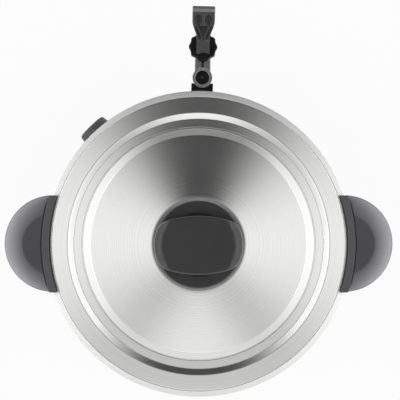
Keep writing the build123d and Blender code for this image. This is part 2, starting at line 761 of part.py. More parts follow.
# Side handles: a bracket that hooks over the bead, and a hollow half-round grip beyond a seam
bead_inner_r = rim_outer_r + lip_gap
bead_under_z = rim_z - pot_wall / 2 - bead_half_height - lip_gap
grip_edge_z = grip_top_z - grip_fall
grip_foot_z = grip_edge_z - grip_edge
grip_screw_reach = bracket_outer_r + screw_grip + grip_boss_tip
for side_name, turn in handle_turns.items():
    across = radial_plane(turn, 0, 0)
    grip_plane = Plane(across.origin, x_dir=across.z_dir, z_dir=-across.x_dir)
    screw_planes = [
        radial_plane(turn + side * handle_screw_turn, shell_inner_r - seat_gap, handle_screw_z)
        for side in (-1, 1)
    ]
    sweep_start = radial_plane(turn - bracket_sweep / 2, 0, 0)
    with BuildPart() as handle_bracket:
        with BuildSketch(Plane(sweep_start.origin, x_dir=sweep_start.z_dir, z_dir=-sweep_start.x_dir)):
            points = [
                (shell_r + seat_gap, rim_z - bracket_drop + lip_wall),
                (shell_r + seat_gap + lip_wall, rim_z - bracket_drop),
                (bracket_outer_r, rim_z - bracket_drop),
                (bracket_outer_r, lip_z + lip_wall - lip_bevel),
                (bracket_outer_r - lip_bevel, lip_z + lip_wall),
                (lip_inner_r + lip_bevel, lip_z + lip_wall),
                (lip_inner_r, lip_z + lip_wall - lip_bevel),
                (lip_inner_r, lip_z),
                (bead_inner_r, lip_z),
                (bead_inner_r, bead_under_z),
                (shell_r + seat_gap, bead_under_z),
            ]
            with BuildLine():
                Polyline(*points, close=True)
            make_face()
        revolve(axis=Axis.Z, revolution_arc=bracket_sweep)
        with BuildSketch(radial_plane(turn, 0, rim_z)):
            Rectangle(2 * handle_half_width, 2 * (bracket_drop + overrun))
        extrude(amount=bracket_outer_r + overrun, mode=Mode.INTERSECT)
        for plane in screw_planes:
            with BuildSketch(plane):
                Circle(screw_r + screw_gap)
            extrude(amount=bracket_outer_r, mode=Mode.SUBTRACT)
    keep(handle_bracket.part, f"{side_name}_handle_bracket")

    grip_axis = Axis(across.z_dir * grip_centre_r, Vector(0, 0, 1))
    flank_mid = (
        grip_centre_r + (grip_top_r + grip_r) / 2 + grip_bulge,
        (grip_top_z + grip_edge_z) / 2 + grip_bulge,
    )
    inner_mid = (flank_mid[0] - grip_wall, flank_mid[1] - grip_wall)
    with BuildPart() as handle_grip:
        with BuildSketch(grip_plane):
            with BuildLine():
                Line((grip_centre_r, grip_top_z - grip_dish), (grip_centre_r + grip_top_r, grip_top_z))
                ThreePointArc(
                    (grip_centre_r + grip_top_r, grip_top_z), flank_mid, (grip_centre_r + grip_r, grip_edge_z)
                )
                Polyline(
                    (grip_centre_r + grip_r, grip_edge_z),
                    (grip_centre_r + grip_r, grip_foot_z),
                    (grip_centre_r + grip_r - grip_wall, grip_foot_z),
                    (grip_centre_r + grip_r - grip_wall, grip_edge_z),
                )
                ThreePointArc(
                    (grip_centre_r + grip_r - grip_wall, grip_edge_z),
                    inner_mid,
                    (grip_centre_r + grip_top_r - grip_wall, grip_top_z - grip_wall),
                )
                Polyline(
                    (grip_centre_r + grip_top_r - grip_wall, grip_top_z - grip_wall),
                    (grip_centre_r, grip_top_z - grip_wall - grip_dish),
                    (grip_centre_r, grip_top_z - grip_dish),
                )
            make_face()
        revolve(axis=grip_axis)
        with BuildSketch(Plane.XY.offset(grip_foot_z)):
            with Locations(across.z_dir * grip_centre_r):
                Circle(grip_r - grip_wall / 2)
            Circle(bracket_outer_r + grip_web, mode=Mode.INTERSECT)
        extrude(amount=grip_top_z - grip_wall - grip_dish - grip_foot_z)
        for plane in screw_planes:
            with BuildSketch(plane):
                Circle(grip_boss_r)
            extrude(amount=grip_screw_reach - shell_inner_r)
        with BuildSketch(Plane.XY.offset(grip_foot_z - overrun)):
            Circle(bracket_outer_r + seat_gap)
        extrude(amount=grip_fall + grip_edge + 2 * overrun, mode=Mode.SUBTRACT)
        with BuildSketch(Plane.XY.offset(grip_top_z - seam_depth)):
            Circle(bracket_outer_r + seam_width)
        extrude(amount=seam_depth + overrun, mode=Mode.SUBTRACT)
        for plane in screw_planes:
            with BuildSketch(plane):
                Circle(screw_r + seat_gap)
            extrude(amount=bracket_outer_r + screw_grip + seat_gap - shell_inner_r, mode=Mode.SUBTRACT)
    keep(handle_grip.part, f"{side_name}_handle_grip")

# Screws from inside the shell, through the brackets into the grips
with BuildPart() as handle_screws:
    for plane in handle_screw_planes:
        screw_along(plane, bracket_outer_r + screw_grip - shell_inner_r, screw_r, screw_head_r, screw_head)
keep(handle_screws.part, "handle_screws")

# Lid: one pressed sheet, drawn along its top face from the middle to the edge
with BuildPart() as lid_shell:
    with BuildSketch(Plane.XZ):
        with BuildLine():
            FilletPolyline(
                (0, lid_seat_z),
                (lid_seat_r, lid_seat_z),
                (lid_shoulder_r, rim_z + lid_shoulder_rise),
                (lid_step_r, rim_z + lid_step_rise),
                (lid_gutter_inner_r, rim_z + lid_gutter_rise + lid_gutter_fall),
                (lid_gutter_outer_r, rim_z + lid_gutter_rise),
                (lid_band_inner_r, rim_z + lid_band_rise),
                (lid_r - lid_lip_width, rim_z + lid_wall),
                (lid_r, rim_z + lid_wall),
                radius=[share * lid_wall for share in lid_bend_shares],
            )
            offset(amount=lid_wall, side=Side.RIGHT)
        make_face()
    revolve(axis=Axis.Z)
    with BuildSketch(lid_plane.offset(lid_seat_z)):
        with Locations((-lid_screw_side, 0), (lid_screw_side, 0)):
            Circle(screw_r + screw_gap)
    extrude(amount=-lid_wall - overrun, mode=Mode.SUBTRACT)
keep(lid_shell.part, "lid_shell")

# Round base of the lid handle, dished for the fingers
with BuildPart() as lid_knob_base:
    with BuildSketch(Plane.XZ):
        points = [
            (0, lid_seat_z),
            (knob_disc_r, lid_seat_z),
            (knob_disc_r, bar_foot_z),
            (bar_tunnel_half, bar_foot_z),
            (0, bar_foot_z - knob_disc_dish),
        ]
        closed_section(points, [0, 0, knob_disc_round, 0, 0])
    revolve(axis=Axis.Z)
    with BuildSketch(lid_plane.offset(lid_seat_z)):
        with Locations((-lid_screw_side, 0), (lid_screw_side, 0)):
            Circle(screw_r + screw_gap)
    extrude(amount=knob_disc_height, mode=Mode.SUBTRACT)
keep(lid_knob_base.part, "lid_knob_base")

# Bar of the lid handle: a broad bridge whose ends follow the round base
bar_end_reach = knob_disc_r + slide_gap
bar_side_plane = Plane((0, 0, 0), x_dir=lid_plane.x_dir, z_dir=-lid_plane.y_dir)
with BuildPart() as lid_handle_bar:
    with BuildSketch(bar_side_plane.offset(-bar_half_width - slide_gap)):
        points = [
            (-bar_end_reach, bar_foot_z),
            (-bar_tunnel_half, bar_foot_z),
            (-bar_tunnel_half, bar_foot_z + bar_gap),
            (bar_tunnel_half, bar_foot_z + bar_gap),
            (bar_tunnel_half, bar_foot_z),
            (bar_end_reach, bar_foot_z),
            (bar_end_reach, bar_top_z),
            (-bar_end_reach, bar_top_z),
        ]
        closed_section(
            points, [0, 0, bar_tunnel_round, bar_tunnel_round, 0, 0, bar_end_round, bar_end_round]
        )
    extrude(amount=2 * (bar_half_width + slide_gap))
    with BuildSketch(lid_plane.offset(bar_foot_z)) as bar_outline:
        Circle(knob_disc_r)
        for side in (-1, 1):
            with Locations((0, side * (bar_bow_r - bar_half_width))):
                Circle(bar_bow_r, mode=Mode.INTERSECT)
        fillet(bar_outline.vertices(), bar_corner_round)
    extrude(amount=bar_gap + bar_wall, mode=Mode.INTERSECT)
    top_arcs = lid_handle_bar.edges().filter_by(GeomType.CIRCLE).filter_by(
        lambda edge: edge.center().Z > bar_top_z - bar_edge_round / 2
    )
    fillet(top_arcs.sort_by(SortBy.LENGTH)[-2:], bar_edge_round)
    with BuildSketch(lid_plane.offset(bar_foot_z)):
        with Locations((-lid_screw_side, 0), (lid_screw_side, 0)):
            Circle(screw_r + seat_gap)
    extrude(amount=lid_screw_grip + seat_gap, mode=Mode.SUBTRACT)
keep(lid_handle_bar.part, "lid_handle_bar")

# Silicone washer under the lid, and the two screws that hold the handle
washer_z = lid_seat_z - lid_wall
with BuildPart() as lid_washer:
    with BuildSketch(lid_plane.offset(washer_z)):
        ring_sketch(lid_screw_side + lid_washer_margin, lid_screw_side - lid_washer_margin)
        with Locations((-lid_screw_side, 0), (lid_screw_side, 0)):
            Circle(screw_r + screw_gap, mode=Mode.SUBTRACT)
    extrude(amount=-lid_washer_wall)
keep(lid_washer.part, "lid_washer")

lid_screw_z = washer_z - lid_washer_wall
with BuildPart() as lid_screws:
    for side in (-lid_screw_side, lid_screw_side):
        head_plane = Plane(lid_plane.x_dir * side + Vector(0, 0, lid_screw_z))
        screw_along(head_plane, bar_foot_z + lid_screw_grip - lid_screw_z, screw_r, screw_head_r, screw_head)
keep(lid_screws.part, "lid_screws")

# Tap body: shank, collar, gauge block, barrel, valve chamber and spout
seal_inner_reach = sqrt(pot_r**2 - seal_r**2) - seal_wall
shank_inner_reach = seal_inner_reach - tap_nut_height - shank_end
collar_reach = shell_r + seal_wall
valve_plane = Plane((0, -valve_reach, tap_z))
gauge_plane = Plane((0, -gauge_reach, tap_z))
with BuildPart() as tap_body:
    with BuildSketch(radial_plane(0, shank_inner_reach, tap_z)):
        Circle(shank_r)
    extrude(amount=valve_reach - shank_inner_reach)
    with BuildSketch(radial_plane(0, collar_reach, tap_z)):
        Circle(collar_r)
    extrude(amount=collar_wall)
    with BuildSketch(gauge_plane.offset(-gauge_block_drop)):
        Circle(gauge_block_r)
    extrude(amount=gauge_block_drop + gauge_block_rise)
    with BuildSketch(gauge_plane.offset(gauge_block_rise)):
        Circle(gauge_inner_r - seat_gap)
    extrude(amount=spigot_height)
    with BuildSketch(valve_plane.offset(-valve_drop)):
        Circle(valve_r)
    extrude(amount=valve_drop + valve_rise)
    with BuildSketch(valve_plane.offset(valve_rise)):
        Circle(neck_r)
    extrude(amount=neck_height)
    with BuildSketch(valve_plane.offset(-valve_drop)):
        Circle(spout_r)
    with BuildSketch(valve_plane.offset(-valve_drop - spout_length)):
        Circle(spout_end_r)
    loft()
    with BuildSketch(radial_plane(0, shank_inner_reach, tap_z)):
        Circle(flow_r)
    extrude(amount=valve_reach - shank_inner_reach, mode=Mode.SUBTRACT)
    with BuildSketch(gauge_plane):
        Circle(spigot_flow_r)
    extrude(amount=gauge_block_rise + spigot_height, mode=Mode.SUBTRACT)
    with BuildSketch(valve_plane.offset(-seat_drop)):
        Circle(chamber_r)
    extrude(amount=seat_drop + valve_rise + neck_height, mode=Mode.SUBTRACT)
    with BuildSketch(valve_plane.offset(-valve_drop - spout_length)):
        Circle(outlet_r)
    extrude(amount=valve_drop + spout_length, mode=Mode.SUBTRACT)
    with BuildSketch(gauge_plane.offset(gauge_block_rise + spigot_height - gauge_seal_height)):
        ring_sketch(gauge_inner_r, gauge_inner_r - gauge_seal_wall)
    extrude(amount=-gauge_seal_height, mode=Mode.SUBTRACT)
keep(tap_body.part, "tap_body")

# Nut inside the pot, and the three seals: inside, between the walls, and outside under the collar
with BuildPart() as tap_nut:
    with BuildSketch(radial_plane(0, seal_inner_reach, tap_z)):
        RegularPolygon(tap_nut_flat / 2, nut_sides, major_radius=False)
        Circle(shank_r + seat_gap, mode=Mode.SUBTRACT)
    extrude(amount=-tap_nut_height)
keep(tap_nut.part, "tap_nut")

with BuildPart() as inner_seal:
    with BuildSketch(radial_plane(0, seal_inner_reach, tap_z)):
        ring_sketch(seal_r, shank_r + seat_gap)
    extrude(amount=seal_wall + overrun)
    with BuildSketch(Plane.XY.offset(tap_z - seal_r)):
        Circle(pot_r - seat_gap)
    extrude(amount=2 * seal_r, mode=Mode.INTERSECT)
with BuildPart() as spacer_seal:
    with BuildSketch(radial_plane(0, pot_r - overrun, tap_z)):
        ring_sketch(spacer_r, shank_r + seat_gap)
    extrude(amount=shell_r - pot_r + overrun)
    with BuildSketch(Plane.XY.offset(tap_z - seal_r)):
        ring_sketch(shell_inner_r - seat_gap, pot_outer_r + seat_gap)
    extrude(amount=2 * seal_r, mode=Mode.INTERSECT)
with BuildPart() as outer_seal:
    with BuildSketch(radial_plane(0, collar_reach, tap_z)):
        ring_sketch(seal_r, shank_r + seat_gap)
    extrude(amount=-seal_wall - overrun)
    with BuildSketch(Plane.XY.offset(tap_z - seal_r)):
        Circle(shell_r + seat_gap)
    extrude(amount=2 * seal_r, mode=Mode.SUBTRACT)
tap_seals = Compound(children=[inner_seal.part, spacer_seal.part, outer_seal.part])
keep(tap_seals, "tap_seals")

# Bonnet: a scalloped cap nut over the valve's neck
bonnet_plane = valve_plane.offset(valve_rise)
with BuildPart() as tap_bonnet:
    with BuildSketch(bonnet_plane):
        Circle(bonnet_r)
        with PolarLocations(bonnet_r + lobe_rise - lobe_r, lobe_count):
            Circle(lobe_r)
    extrude(amount=bonnet_height)
    fillet(tap_bonnet.faces().sort_by(Axis.Z)[-1].edges(), bonnet_round)
    with BuildSketch(bonnet_plane):
        Circle(neck_r + seat_gap)
    extrude(amount=neck_height + seat_gap, mode=Mode.SUBTRACT)
    with BuildSketch(bonnet_plane):
        Circle(chamber_r)
    extrude(amount=bonnet_height - bonnet_top_wall, mode=Mode.SUBTRACT)
    with BuildSketch(bonnet_plane):
        Circle(stem_r + slide_gap)
    extrude(amount=bonnet_height, mode=Mode.SUBTRACT)
keep(tap_bonnet.part, "tap_bonnet")

# Stem: a rod from the seat cup up through the bonnet to the lever's pin
cup_top_z = seat_z + cup_height
stem_foot_z = seat_z + cup_floor
lever_pin_plane = Plane((0, -valve_reach, lever_pin_z), x_dir=(0, 1, 0), z_dir=(1, 0, 0))
with BuildPart() as tap_stem:
    with BuildSketch(Plane((0, -valve_reach, stem_foot_z))):
        Circle(stem_r)
    extrude(amount=lever_pin_z - stem_foot_z)
    with BuildSketch(lever_pin_plane.offset(-eye_width / 2)):
        Circle(eye_r)
    extrude(amount=eye_width)
    with BuildSketch(lever_pin_plane.offset(-eye_width)):
        Circle(lever_pin_r + seat_gap / 2)
    extrude(amount=2 * eye_width, mode=Mode.SUBTRACT)
keep(tap_stem.part, "tap_stem")

# Seat cup: the silicone washer that closes the outlet
with BuildPart() as seat_cup:
    with BuildSketch(Plane((0, -valve_reach, seat_z + seat_gap))):
        Circle(cup_r)
    extrude(amount=cup_height - seat_gap)
    with BuildSketch(Plane((0, -valve_reach, stem_foot_z - seat_gap))):
        Circle(stem_r + seat_gap)
    extrude(amount=cup_height, mode=Mode.SUBTRACT)
keep(seat_cup.part, "seat_cup")

# Spring between the cup and the bonnet: half turns, each a tilted arc, joined end to end
spring_foot_z = cup_top_z + spring_wire_r + seat_gap
spring_head_z = bonnet_top_z - bonnet_top_wall - spring_wire_r - seat_gap
half_rise = (spring_head_z - spring_foot_z) / (2 * spring_turns)
with BuildPart() as tap_spring:
    with BuildLine() as spring_path:
        for half in range(2 * spring_turns):
            low_z = spring_foot_z + half * half_rise
            way = 1 - 2 * (half % 2)
            ThreePointArc(
                (way * spring_r, -valve_reach, low_z),
                (0, -valve_reach + way * spring_r, low_z + half_rise / 2),
                (-way * spring_r, -valve_reach, low_z + half_rise),
            )
    start_edge = spring_path.edges()[0]
    with BuildSketch(Plane(origin=start_edge @ 0, z_dir=start_edge % 0)):
        Circle(spring_wire_r)
    sweep(path=spring_path.wires()[0])
keep(tap_spring.part, "tap_spring")

# Lever: a forked heel whose cam lifts the stem evenly, and a ribbed paddle that leans outward
cam_reach = stem_travel / radians(lever_throw)
heel_under = pin_over_bonnet - slide_gap


def cam_point(turn):
    """A point of the heel's cam, outward and up from the pin: an involute, so that the lift is even."""
    lift = heel_under + cam_reach * radians(turn)
    out = lift * sin(radians(turn)) + cam_reach * cos(radians(turn))
    up = cam_reach * sin(radians(turn)) - lift * cos(radians(turn))
    return (-out, up)


def arm_point(along, over):
    """A point of the lever's side outline, along the arm from the pin and over its middle line."""
    turn = radians(lever_angle)
    return (over * sin(turn) - along * cos(turn), along * sin(turn) + over * cos(turn))


arm_half = lever_wall / 2
tip_under = arm_half - lever_tip_wall
lip_over = arm_half + lever_lip_rise
heel_half = lever_heel_width / 2
paddle_half = lever_paddle_width / 2
fork_half = eye_width / 2 + slide_gap
fork_top = eye_r + slide_gap
fork_reach = cam_reach + heel_half / 2
lever_tip_reach = -arm_point(lever_length, tip_under)[0] + overrun
lever_top_plane = Plane(
    origin=(0, -valve_reach, lever_pin_z),
    x_dir=(1, 0, 0),
    z_dir=Vector(0, sin(radians(lever_angle)), cos(radians(lever_angle))),
)
with BuildPart() as tap_lever:
    with BuildSketch(lever_pin_plane):
        with BuildLine():
            ThreePointArc(cam_point(0), cam_point(lever_throw / 2), cam_point(lever_throw))
            Polyline(
                cam_point(lever_throw),
                arm_point(lever_arm_start, -arm_half),
                arm_point(lever_length, tip_under),
                arm_point(lever_length, lip_over),
                arm_point(lever_length - lever_lip_wall, lip_over),
                arm_point(lever_length - lever_lip_wall, arm_half),
                arm_point(lever_heel_round, arm_half),
                (lever_heel_back - lever_heel_round, lever_heel_top),
                (lever_heel_back, lever_heel_top - lever_heel_round),
                (lever_heel_back, lever_heel_round - heel_under),
                (lever_heel_back - lever_heel_round, -heel_under),
                cam_point(0),
            )
        make_face()
    extrude(amount=paddle_half, both=True)
    with BuildSketch(Plane((0, -valve_reach, bonnet_top_z))):
        with BuildLine():
            Polyline(
                (-heel_half, lever_heel_back + overrun),
                (-heel_half, -lever_neck_reach),
                (-paddle_half, -lever_paddle_reach),
                (-paddle_half, -lever_tip_reach),
                (paddle_half, -lever_tip_reach),
                (paddle_half, -lever_paddle_reach),
                (heel_half, -lever_neck_reach),
                (heel_half, lever_heel_back + overrun),
                close=True,
            )
        make_face()
    extrude(amount=lever_length + pin_over_bonnet, mode=Mode.INTERSECT)
    with BuildSketch(lever_pin_plane):
        with BuildLine():
            Polyline(
                (-fork_reach, -pin_over_bonnet - overrun),
                (lever_heel_back + overrun, -pin_over_bonnet - overrun),
                (lever_heel_back + overrun, fork_top),
                (-fork_reach, fork_top),
                close=True,
            )
        make_face()
    extrude(amount=fork_half, both=True, mode=Mode.SUBTRACT)
    with BuildSketch(lever_pin_plane):
        Circle(lever_pin_r + running_gap)
    extrude(amount=paddle_half, both=True, mode=Mode.SUBTRACT)
    with BuildSketch(lever_top_plane.offset(arm_half)):
        neck_along = lever_neck_reach / cos(radians(lever_angle))
        paddle_along = lever_paddle_reach / cos(radians(lever_angle))
        pocket_end = lever_length - lever_lip_wall - lever_frame_wall
        for side in (-1, 1):
            with BuildLine():
                Polyline(
                    (side * lever_rib / 2, -paddle_along + lever_rib),
                    (side * (paddle_half - lever_frame_wall), -paddle_along),
                    (side * (paddle_half - lever_frame_wall), -pocket_end),
                    (side * lever_rib / 2, -pocket_end),
                    close=True,
                )
            make_face()
            with BuildLine():
                Polyline(
                    (side * lever_rib / 2, -neck_along),
                    (side * (heel_half - lever_frame_wall), -neck_along - lever_rib),
                    (side * (paddle_half - 2 * lever_frame_wall), -paddle_along + lever_rib),
                    (side * lever_rib / 2, -paddle_along + lever_rib_slope),
                    close=True,
                )
            make_face()
    extrude(amount=-lever_pocket_depth, mode=Mode.SUBTRACT)
keep(tap_lever.part, "tap_lever")

with BuildPart() as lever_pin:
    with BuildSketch(lever_pin_plane):
        Circle(lever_pin_r)
    extrude(amount=heel_half, both=True)
keep(lever_pin.part, "lever_pin")

# Level gauge: a clear tube on the tap's spigot, its ring seal, a vented plug and the bracket behind it
with BuildPart() as gauge_tube:
    with BuildSketch(gauge_plane.offset(gauge_block_rise)):
        ring_sketch(gauge_r, gauge_inner_r)
    extrude(amount=gauge_top_z - gauge_foot_z)
keep(gauge_tube.part, "gauge_tube")

seal_top = gauge_block_rise + spigot_height - gauge_seal_height
with BuildPart() as gauge_seal:
    with BuildSketch(gauge_plane.offset(seal_top - seat_gap)):
        ring_sketch(gauge_inner_r - seat_gap / 2, gauge_inner_r - gauge_seal_wall + seat_gap / 2)
    extrude(amount=2 * seat_gap - gauge_seal_height)
keep(gauge_seal.part, "gauge_seal")

with BuildPart() as gauge_plug:
    with BuildSketch(Plane((0, -gauge_reach, gauge_top_z - plug_sink))):
        ring_sketch(gauge_inner_r - seat_gap, vent_hole_r)
    extrude(amount=-plug_length)
keep(gauge_plug.part, "gauge_plug")

with BuildPart() as gauge_bracket:
    with BuildSketch(radial_plane(0, shell_r - overrun, bracket_z)):
        Rectangle(gauge_bracket_width, gauge_bracket_height)
    extrude(amount=gauge_bracket_reach - shell_r + overrun)
    with BuildSketch(Plane.XY.offset(bracket_z - gauge_bracket_height)):
        Circle(shell_r + seat_gap)
        with Locations((0, -gauge_reach)):
            Circle(gauge_r + seat_gap)
    extrude(amount=2 * gauge_bracket_height, mode=Mode.SUBTRACT)
    for z in bracket_screw_zs:
        with BuildSketch(radial_plane(0, shell_r - overrun, z)):
            Circle(screw_r + seat_gap)
        extrude(amount=bracket_screw_grip + overrun + seat_gap, mode=Mode.SUBTRACT)
keep(gauge_bracket.part, "gauge_bracket")

with BuildPart() as bracket_screws:
    for z in bracket_screw_zs:
        head_plane = radial_plane(0, shell_inner_r - seat_gap, z)
        screw_along(head_plane, shell_wall + bracket_screw_grip, screw_r, screw_head_r, screw_head)
keep(bracket_screws.part, "bracket_screws")
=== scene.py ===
from math import cos, pi, radians, sin

import bmesh
import bpy
import numpy as np
from bpy.props import FloatProperty, FloatVectorProperty, IntProperty, PointerProperty
from bpy.types import Operator, Panel, PropertyGroup
from mathutils import Matrix, Vector


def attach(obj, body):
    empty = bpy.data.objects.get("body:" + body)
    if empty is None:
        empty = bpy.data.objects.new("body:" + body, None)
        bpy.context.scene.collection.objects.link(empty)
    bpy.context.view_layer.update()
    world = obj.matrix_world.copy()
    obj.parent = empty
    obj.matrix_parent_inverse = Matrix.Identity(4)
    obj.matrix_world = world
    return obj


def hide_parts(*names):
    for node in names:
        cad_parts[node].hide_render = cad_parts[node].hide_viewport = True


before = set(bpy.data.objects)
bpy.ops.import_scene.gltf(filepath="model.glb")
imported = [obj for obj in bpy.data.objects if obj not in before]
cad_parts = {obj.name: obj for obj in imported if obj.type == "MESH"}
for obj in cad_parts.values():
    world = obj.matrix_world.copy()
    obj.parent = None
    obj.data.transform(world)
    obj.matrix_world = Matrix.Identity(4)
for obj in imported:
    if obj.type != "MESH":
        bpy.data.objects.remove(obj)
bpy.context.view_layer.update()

bl_info = {
    "name": "Hot Beverage Boiler",
    "version": (1, 0, 0),
    "blender": (4, 5, 0),
    "location": "View3D > Sidebar > Boiler",
    "description": "Dresses the packed boiler with spun steel, moulded plastic and a plain studio",
    "category": "Object",
}

# Heights over the table, in millimetres
RIM_Z = 317.0
FLOOR_Z = 92.0
LEDGE_Z = 62.0
BASE_Z = 5.0
BASE_TOP_Z = 70.0
LID_SEAT_Z = 337.0
BAR_FOOT_Z = 344.0
BAR_TOP_Z = 368.0
TAP_Z = 113.0
LEVER_PIN_Z = 149.0
CONTROL_Z = 40.0
INLET_Z = 36.0

# Radii about the pot's axis and reaches from it, in millimetres
POT_R = 119.5
SHELL_R = 130.0
LID_EDGE_R = 130.7
FLANGE_R = 133.35
BASE_R = 133.5
KNOB_DISC_R = 38.5
GAUGE_REACH = 149.8
VALVE_REACH = 191.5
BOSS_REACH = 143.0
PAD_REACH = 137.0

# Turns about the pot's axis from the tap, the handles' turn off square, and the lever's lean, in degrees
CONTROL_TURN = 45.5
INLET_TURN = 180.0
HANDLE_TURN = 1.3
LEVER_LEAN = 38.0

# A millimetre in metres, the pot's sheet and the lid's hem in millimetres, two directions and a plain white
MM = 0.001
SHEET = 1.0
HEM = 0.06
UP = np.array([0.0, 0.0, 1.0])
RIGHT = np.array([1.0, 0.0, 0.0])
WHITE = (1.0, 1.0, 1.0, 1.0)


class SteelSettings(PropertyGroup):
    """Colours and finish of the steel sheet."""

    lid_tint: FloatVectorProperty(
        name="Lid", description="Colour of the spun lid", subtype="COLOR", default=(0.8, 0.8, 0.79)
    )
    shell_tint: FloatVectorProperty(
        name="Shell", description="Colour of the pot and its outer shell", subtype="COLOR",
        default=(0.77, 0.77, 0.765),
    )
    roughness: FloatProperty(
        name="Roughness", description="How much the brushing spreads a reflection", subtype="FACTOR",
        min=0.0, max=1.0, default=0.19,
    )
    spread: FloatProperty(
        name="Brushing", description="How far the brushing draws a reflection out across its lines",
        subtype="FACTOR", min=0.0, max=1.0, default=0.8,
    )


class PlasticSettings(PropertyGroup):
    """Colours of the moulded pieces."""

    handle_tint: FloatVectorProperty(
        name="Handles", description="Colour of grips, brackets and lid handle", subtype="COLOR",
        default=(0.06, 0.06, 0.063),
    )
    base_tint: FloatVectorProperty(
        name="Base", description="Colour of the base housing", subtype="COLOR",
        default=(0.035, 0.035, 0.037),
    )
    tap_tint: FloatVectorProperty(
        name="Tap", description="Colour of the tap's glossy body", subtype="COLOR",
        default=(0.009, 0.009, 0.01),
    )
    bonnet_tint: FloatVectorProperty(
        name="Bonnet", description="Colour of the tap's cap nut and the gauge's plug", subtype="COLOR",
        default=(0.006, 0.006, 0.007),
    )
    grain: FloatProperty(
        name="Grain", description="Size of the moulded grain", unit="LENGTH", min=0.0001, max=0.01,
        default=0.0009,
    )


class ShapeSettings(PropertyGroup):
    """Small forms that the pieces carry."""

    flutes: IntProperty(name="Flutes", description="Grip flutes round the knob", min=6, max=60, default=24)
    flute_depth: FloatProperty(
        name="Flute depth", description="Depth of the knob's flutes", unit="LENGTH", min=0.0, max=0.002,
        default=0.0005,
    )
    dial_ticks: IntProperty(name="Ticks", description="Marks round the knob", min=2, max=40, default=13)
    seam: FloatProperty(
        name="Seam", description="Gap between a grip and its bracket", unit="LENGTH", min=0.0002, max=0.003,
        default=0.0008,
    )


class StageSettings(PropertyGroup):
    """Camera and studio light."""

    camera_height: FloatProperty(
        name="Camera height", description="Camera over the table", unit="LENGTH", min=0.5, max=10.0,
        default=1.817,
    )
    lens: FloatProperty(
        name="Lens", description="Focal length", unit="CAMERA", min=10.0, max=500.0, default=151.8
    )
    side_power: FloatProperty(
        name="Side lamps", description="Power of the strip lights on both sides", unit="POWER",
        min=0.0, max=1000.0, default=1.0,
    )
    front_power: FloatProperty(
        name="Front lamp", description="Power of the soft box opposite the tap", unit="POWER",
        min=0.0, max=1000.0, default=1.0,
    )
    ambient: FloatProperty(
        name="Room", description="Strength of the bright room, which is dark behind the tap",
        min=0.0, max=2.0, default=1.0,
    )


def unit(vectors):
    """Vectors along the last axis, each divided by its length."""
    return vectors / np.linalg.norm(vectors, axis=-1, keepdims=True)


def ramp(value, first, last):
    """A share that is 0 up to the first value and 1 from the last on, and changes evenly between them."""
    return np.clip((value - first) / (last - first), 0, 1)


def ease(value, first, last):
    """A ramp that starts and ends softly: three times its square less twice its cube."""
    share = ramp(value, first, last)
    return share**2 * (3 - 2 * share)


def roll(share):
    """How far a quarter circle of radius 1 has dropped at a share of its radius from the top."""
    return 1 - np.sqrt(1 - share**2)


def bend(points, radii, steps=7):
    """An open outline with its inner corners rounded.

    Each corner becomes an arc that touches both its runs. The arc's ends lie the radius over the tangent of
    half the corner's angle from the corner, and its centre lies the radius over the sine of that half along
    the bisector. A point just beyond each end of an arc keeps the shading of the runs flat.
    """
    guard = 0.12
    points = np.asarray(points, float)
    radii = np.asarray(radii, float)[:, None]
    corners = points[1:-1]
    back, fore = unit(points[:-2] - corners), unit(points[2:] - corners)
    half = np.arccos(np.clip((back * fore).sum(1, keepdims=True), -1, 1)) / 2
    start, end = corners + back * radii / np.tan(half), corners + fore * radii / np.tan(half)
    centre = corners + unit(back + fore) * radii / np.sin(half)
    sweep = (pi - 2 * half)[:, None]
    share = np.linspace(0, 1, steps)[None, :, None]
    from_start = np.sin((1 - share) * sweep) * (start - centre)[:, None]
    from_end = np.sin(share * sweep) * (end - centre)[:, None]
    bows = centre[:, None] + (from_start + from_end) / np.sin(sweep)
    rounded = np.concatenate([(start + back * guard)[:, None], bows, (end + fore * guard)[:, None]], axis=1)
    return np.concatenate([points[:1], rounded.reshape(-1, 2), points[-1:]])


def bend_closed(points, radii, steps=5):
    """A closed outline with all its corners rounded, as bend does."""
    points = np.asarray(points, float)
    return bend(np.concatenate([points[-1:], points, points[:1]]), radii, steps)[1:-1]


def rounded_rectangle(width, height, corner):
    """A closed outline of a rectangle whose corners are quarter circles."""
    w, h = width / 2, height / 2
    return bend_closed([(-w, -h), (w, -h), (w, h), (-w, h)], [corner] * 4, 7)


def arc(centre, radius, first, last, steps):
    """Points on a circle from one angle to another, in degrees."""
    angle = np.radians(np.linspace(first, last, steps))
    return np.stack([centre[0] + radius * np.cos(angle), centre[1] + radius * np.sin(angle)], -1)


def curve(first, handle, last, steps, begin=0.0):
    """Points of a curve that leaves its first point and meets its last one in line with the handle.

    Each is the sum of the first point times the square of the share left of the way, the handle times twice
    the product of both shares, and the last point times the square of the share gone. A share to begin at
    leaves out the curve's first stretch.
    """
    gone = np.linspace(begin, 1, steps)[:, None]
    first, handle, last = np.array([first, handle, last], float)
    return (1 - gone) ** 2 * first + 2 * gone * (1 - gone) * handle + gone**2 * last


def circle(segments):
    """Angles of so many even steps round a circle."""
    return np.linspace(0, 2 * pi, segments, endpoint=False)


def spokes(segments, axis, side):
    """Unit vectors round an axis: the cosine along the side, and the sine along the third direction."""
    angle = circle(segments)[:, None]
    return np.cos(angle) * side + np.sin(angle) * np.cross(axis, side)


def spun(profile, segments, centre=(0.0, 0.0)):
    """A profile of radius and height about an upright axis: x and y are the radius times cosine and sine."""
    angle = circle(segments)
    radius, height = profile[:, :1], profile[:, 1:]
    x, y = centre[0] + radius * np.cos(angle), centre[1] + radius * np.sin(angle)
    return np.stack([x, y, np.broadcast_to(height, x.shape)], -1)


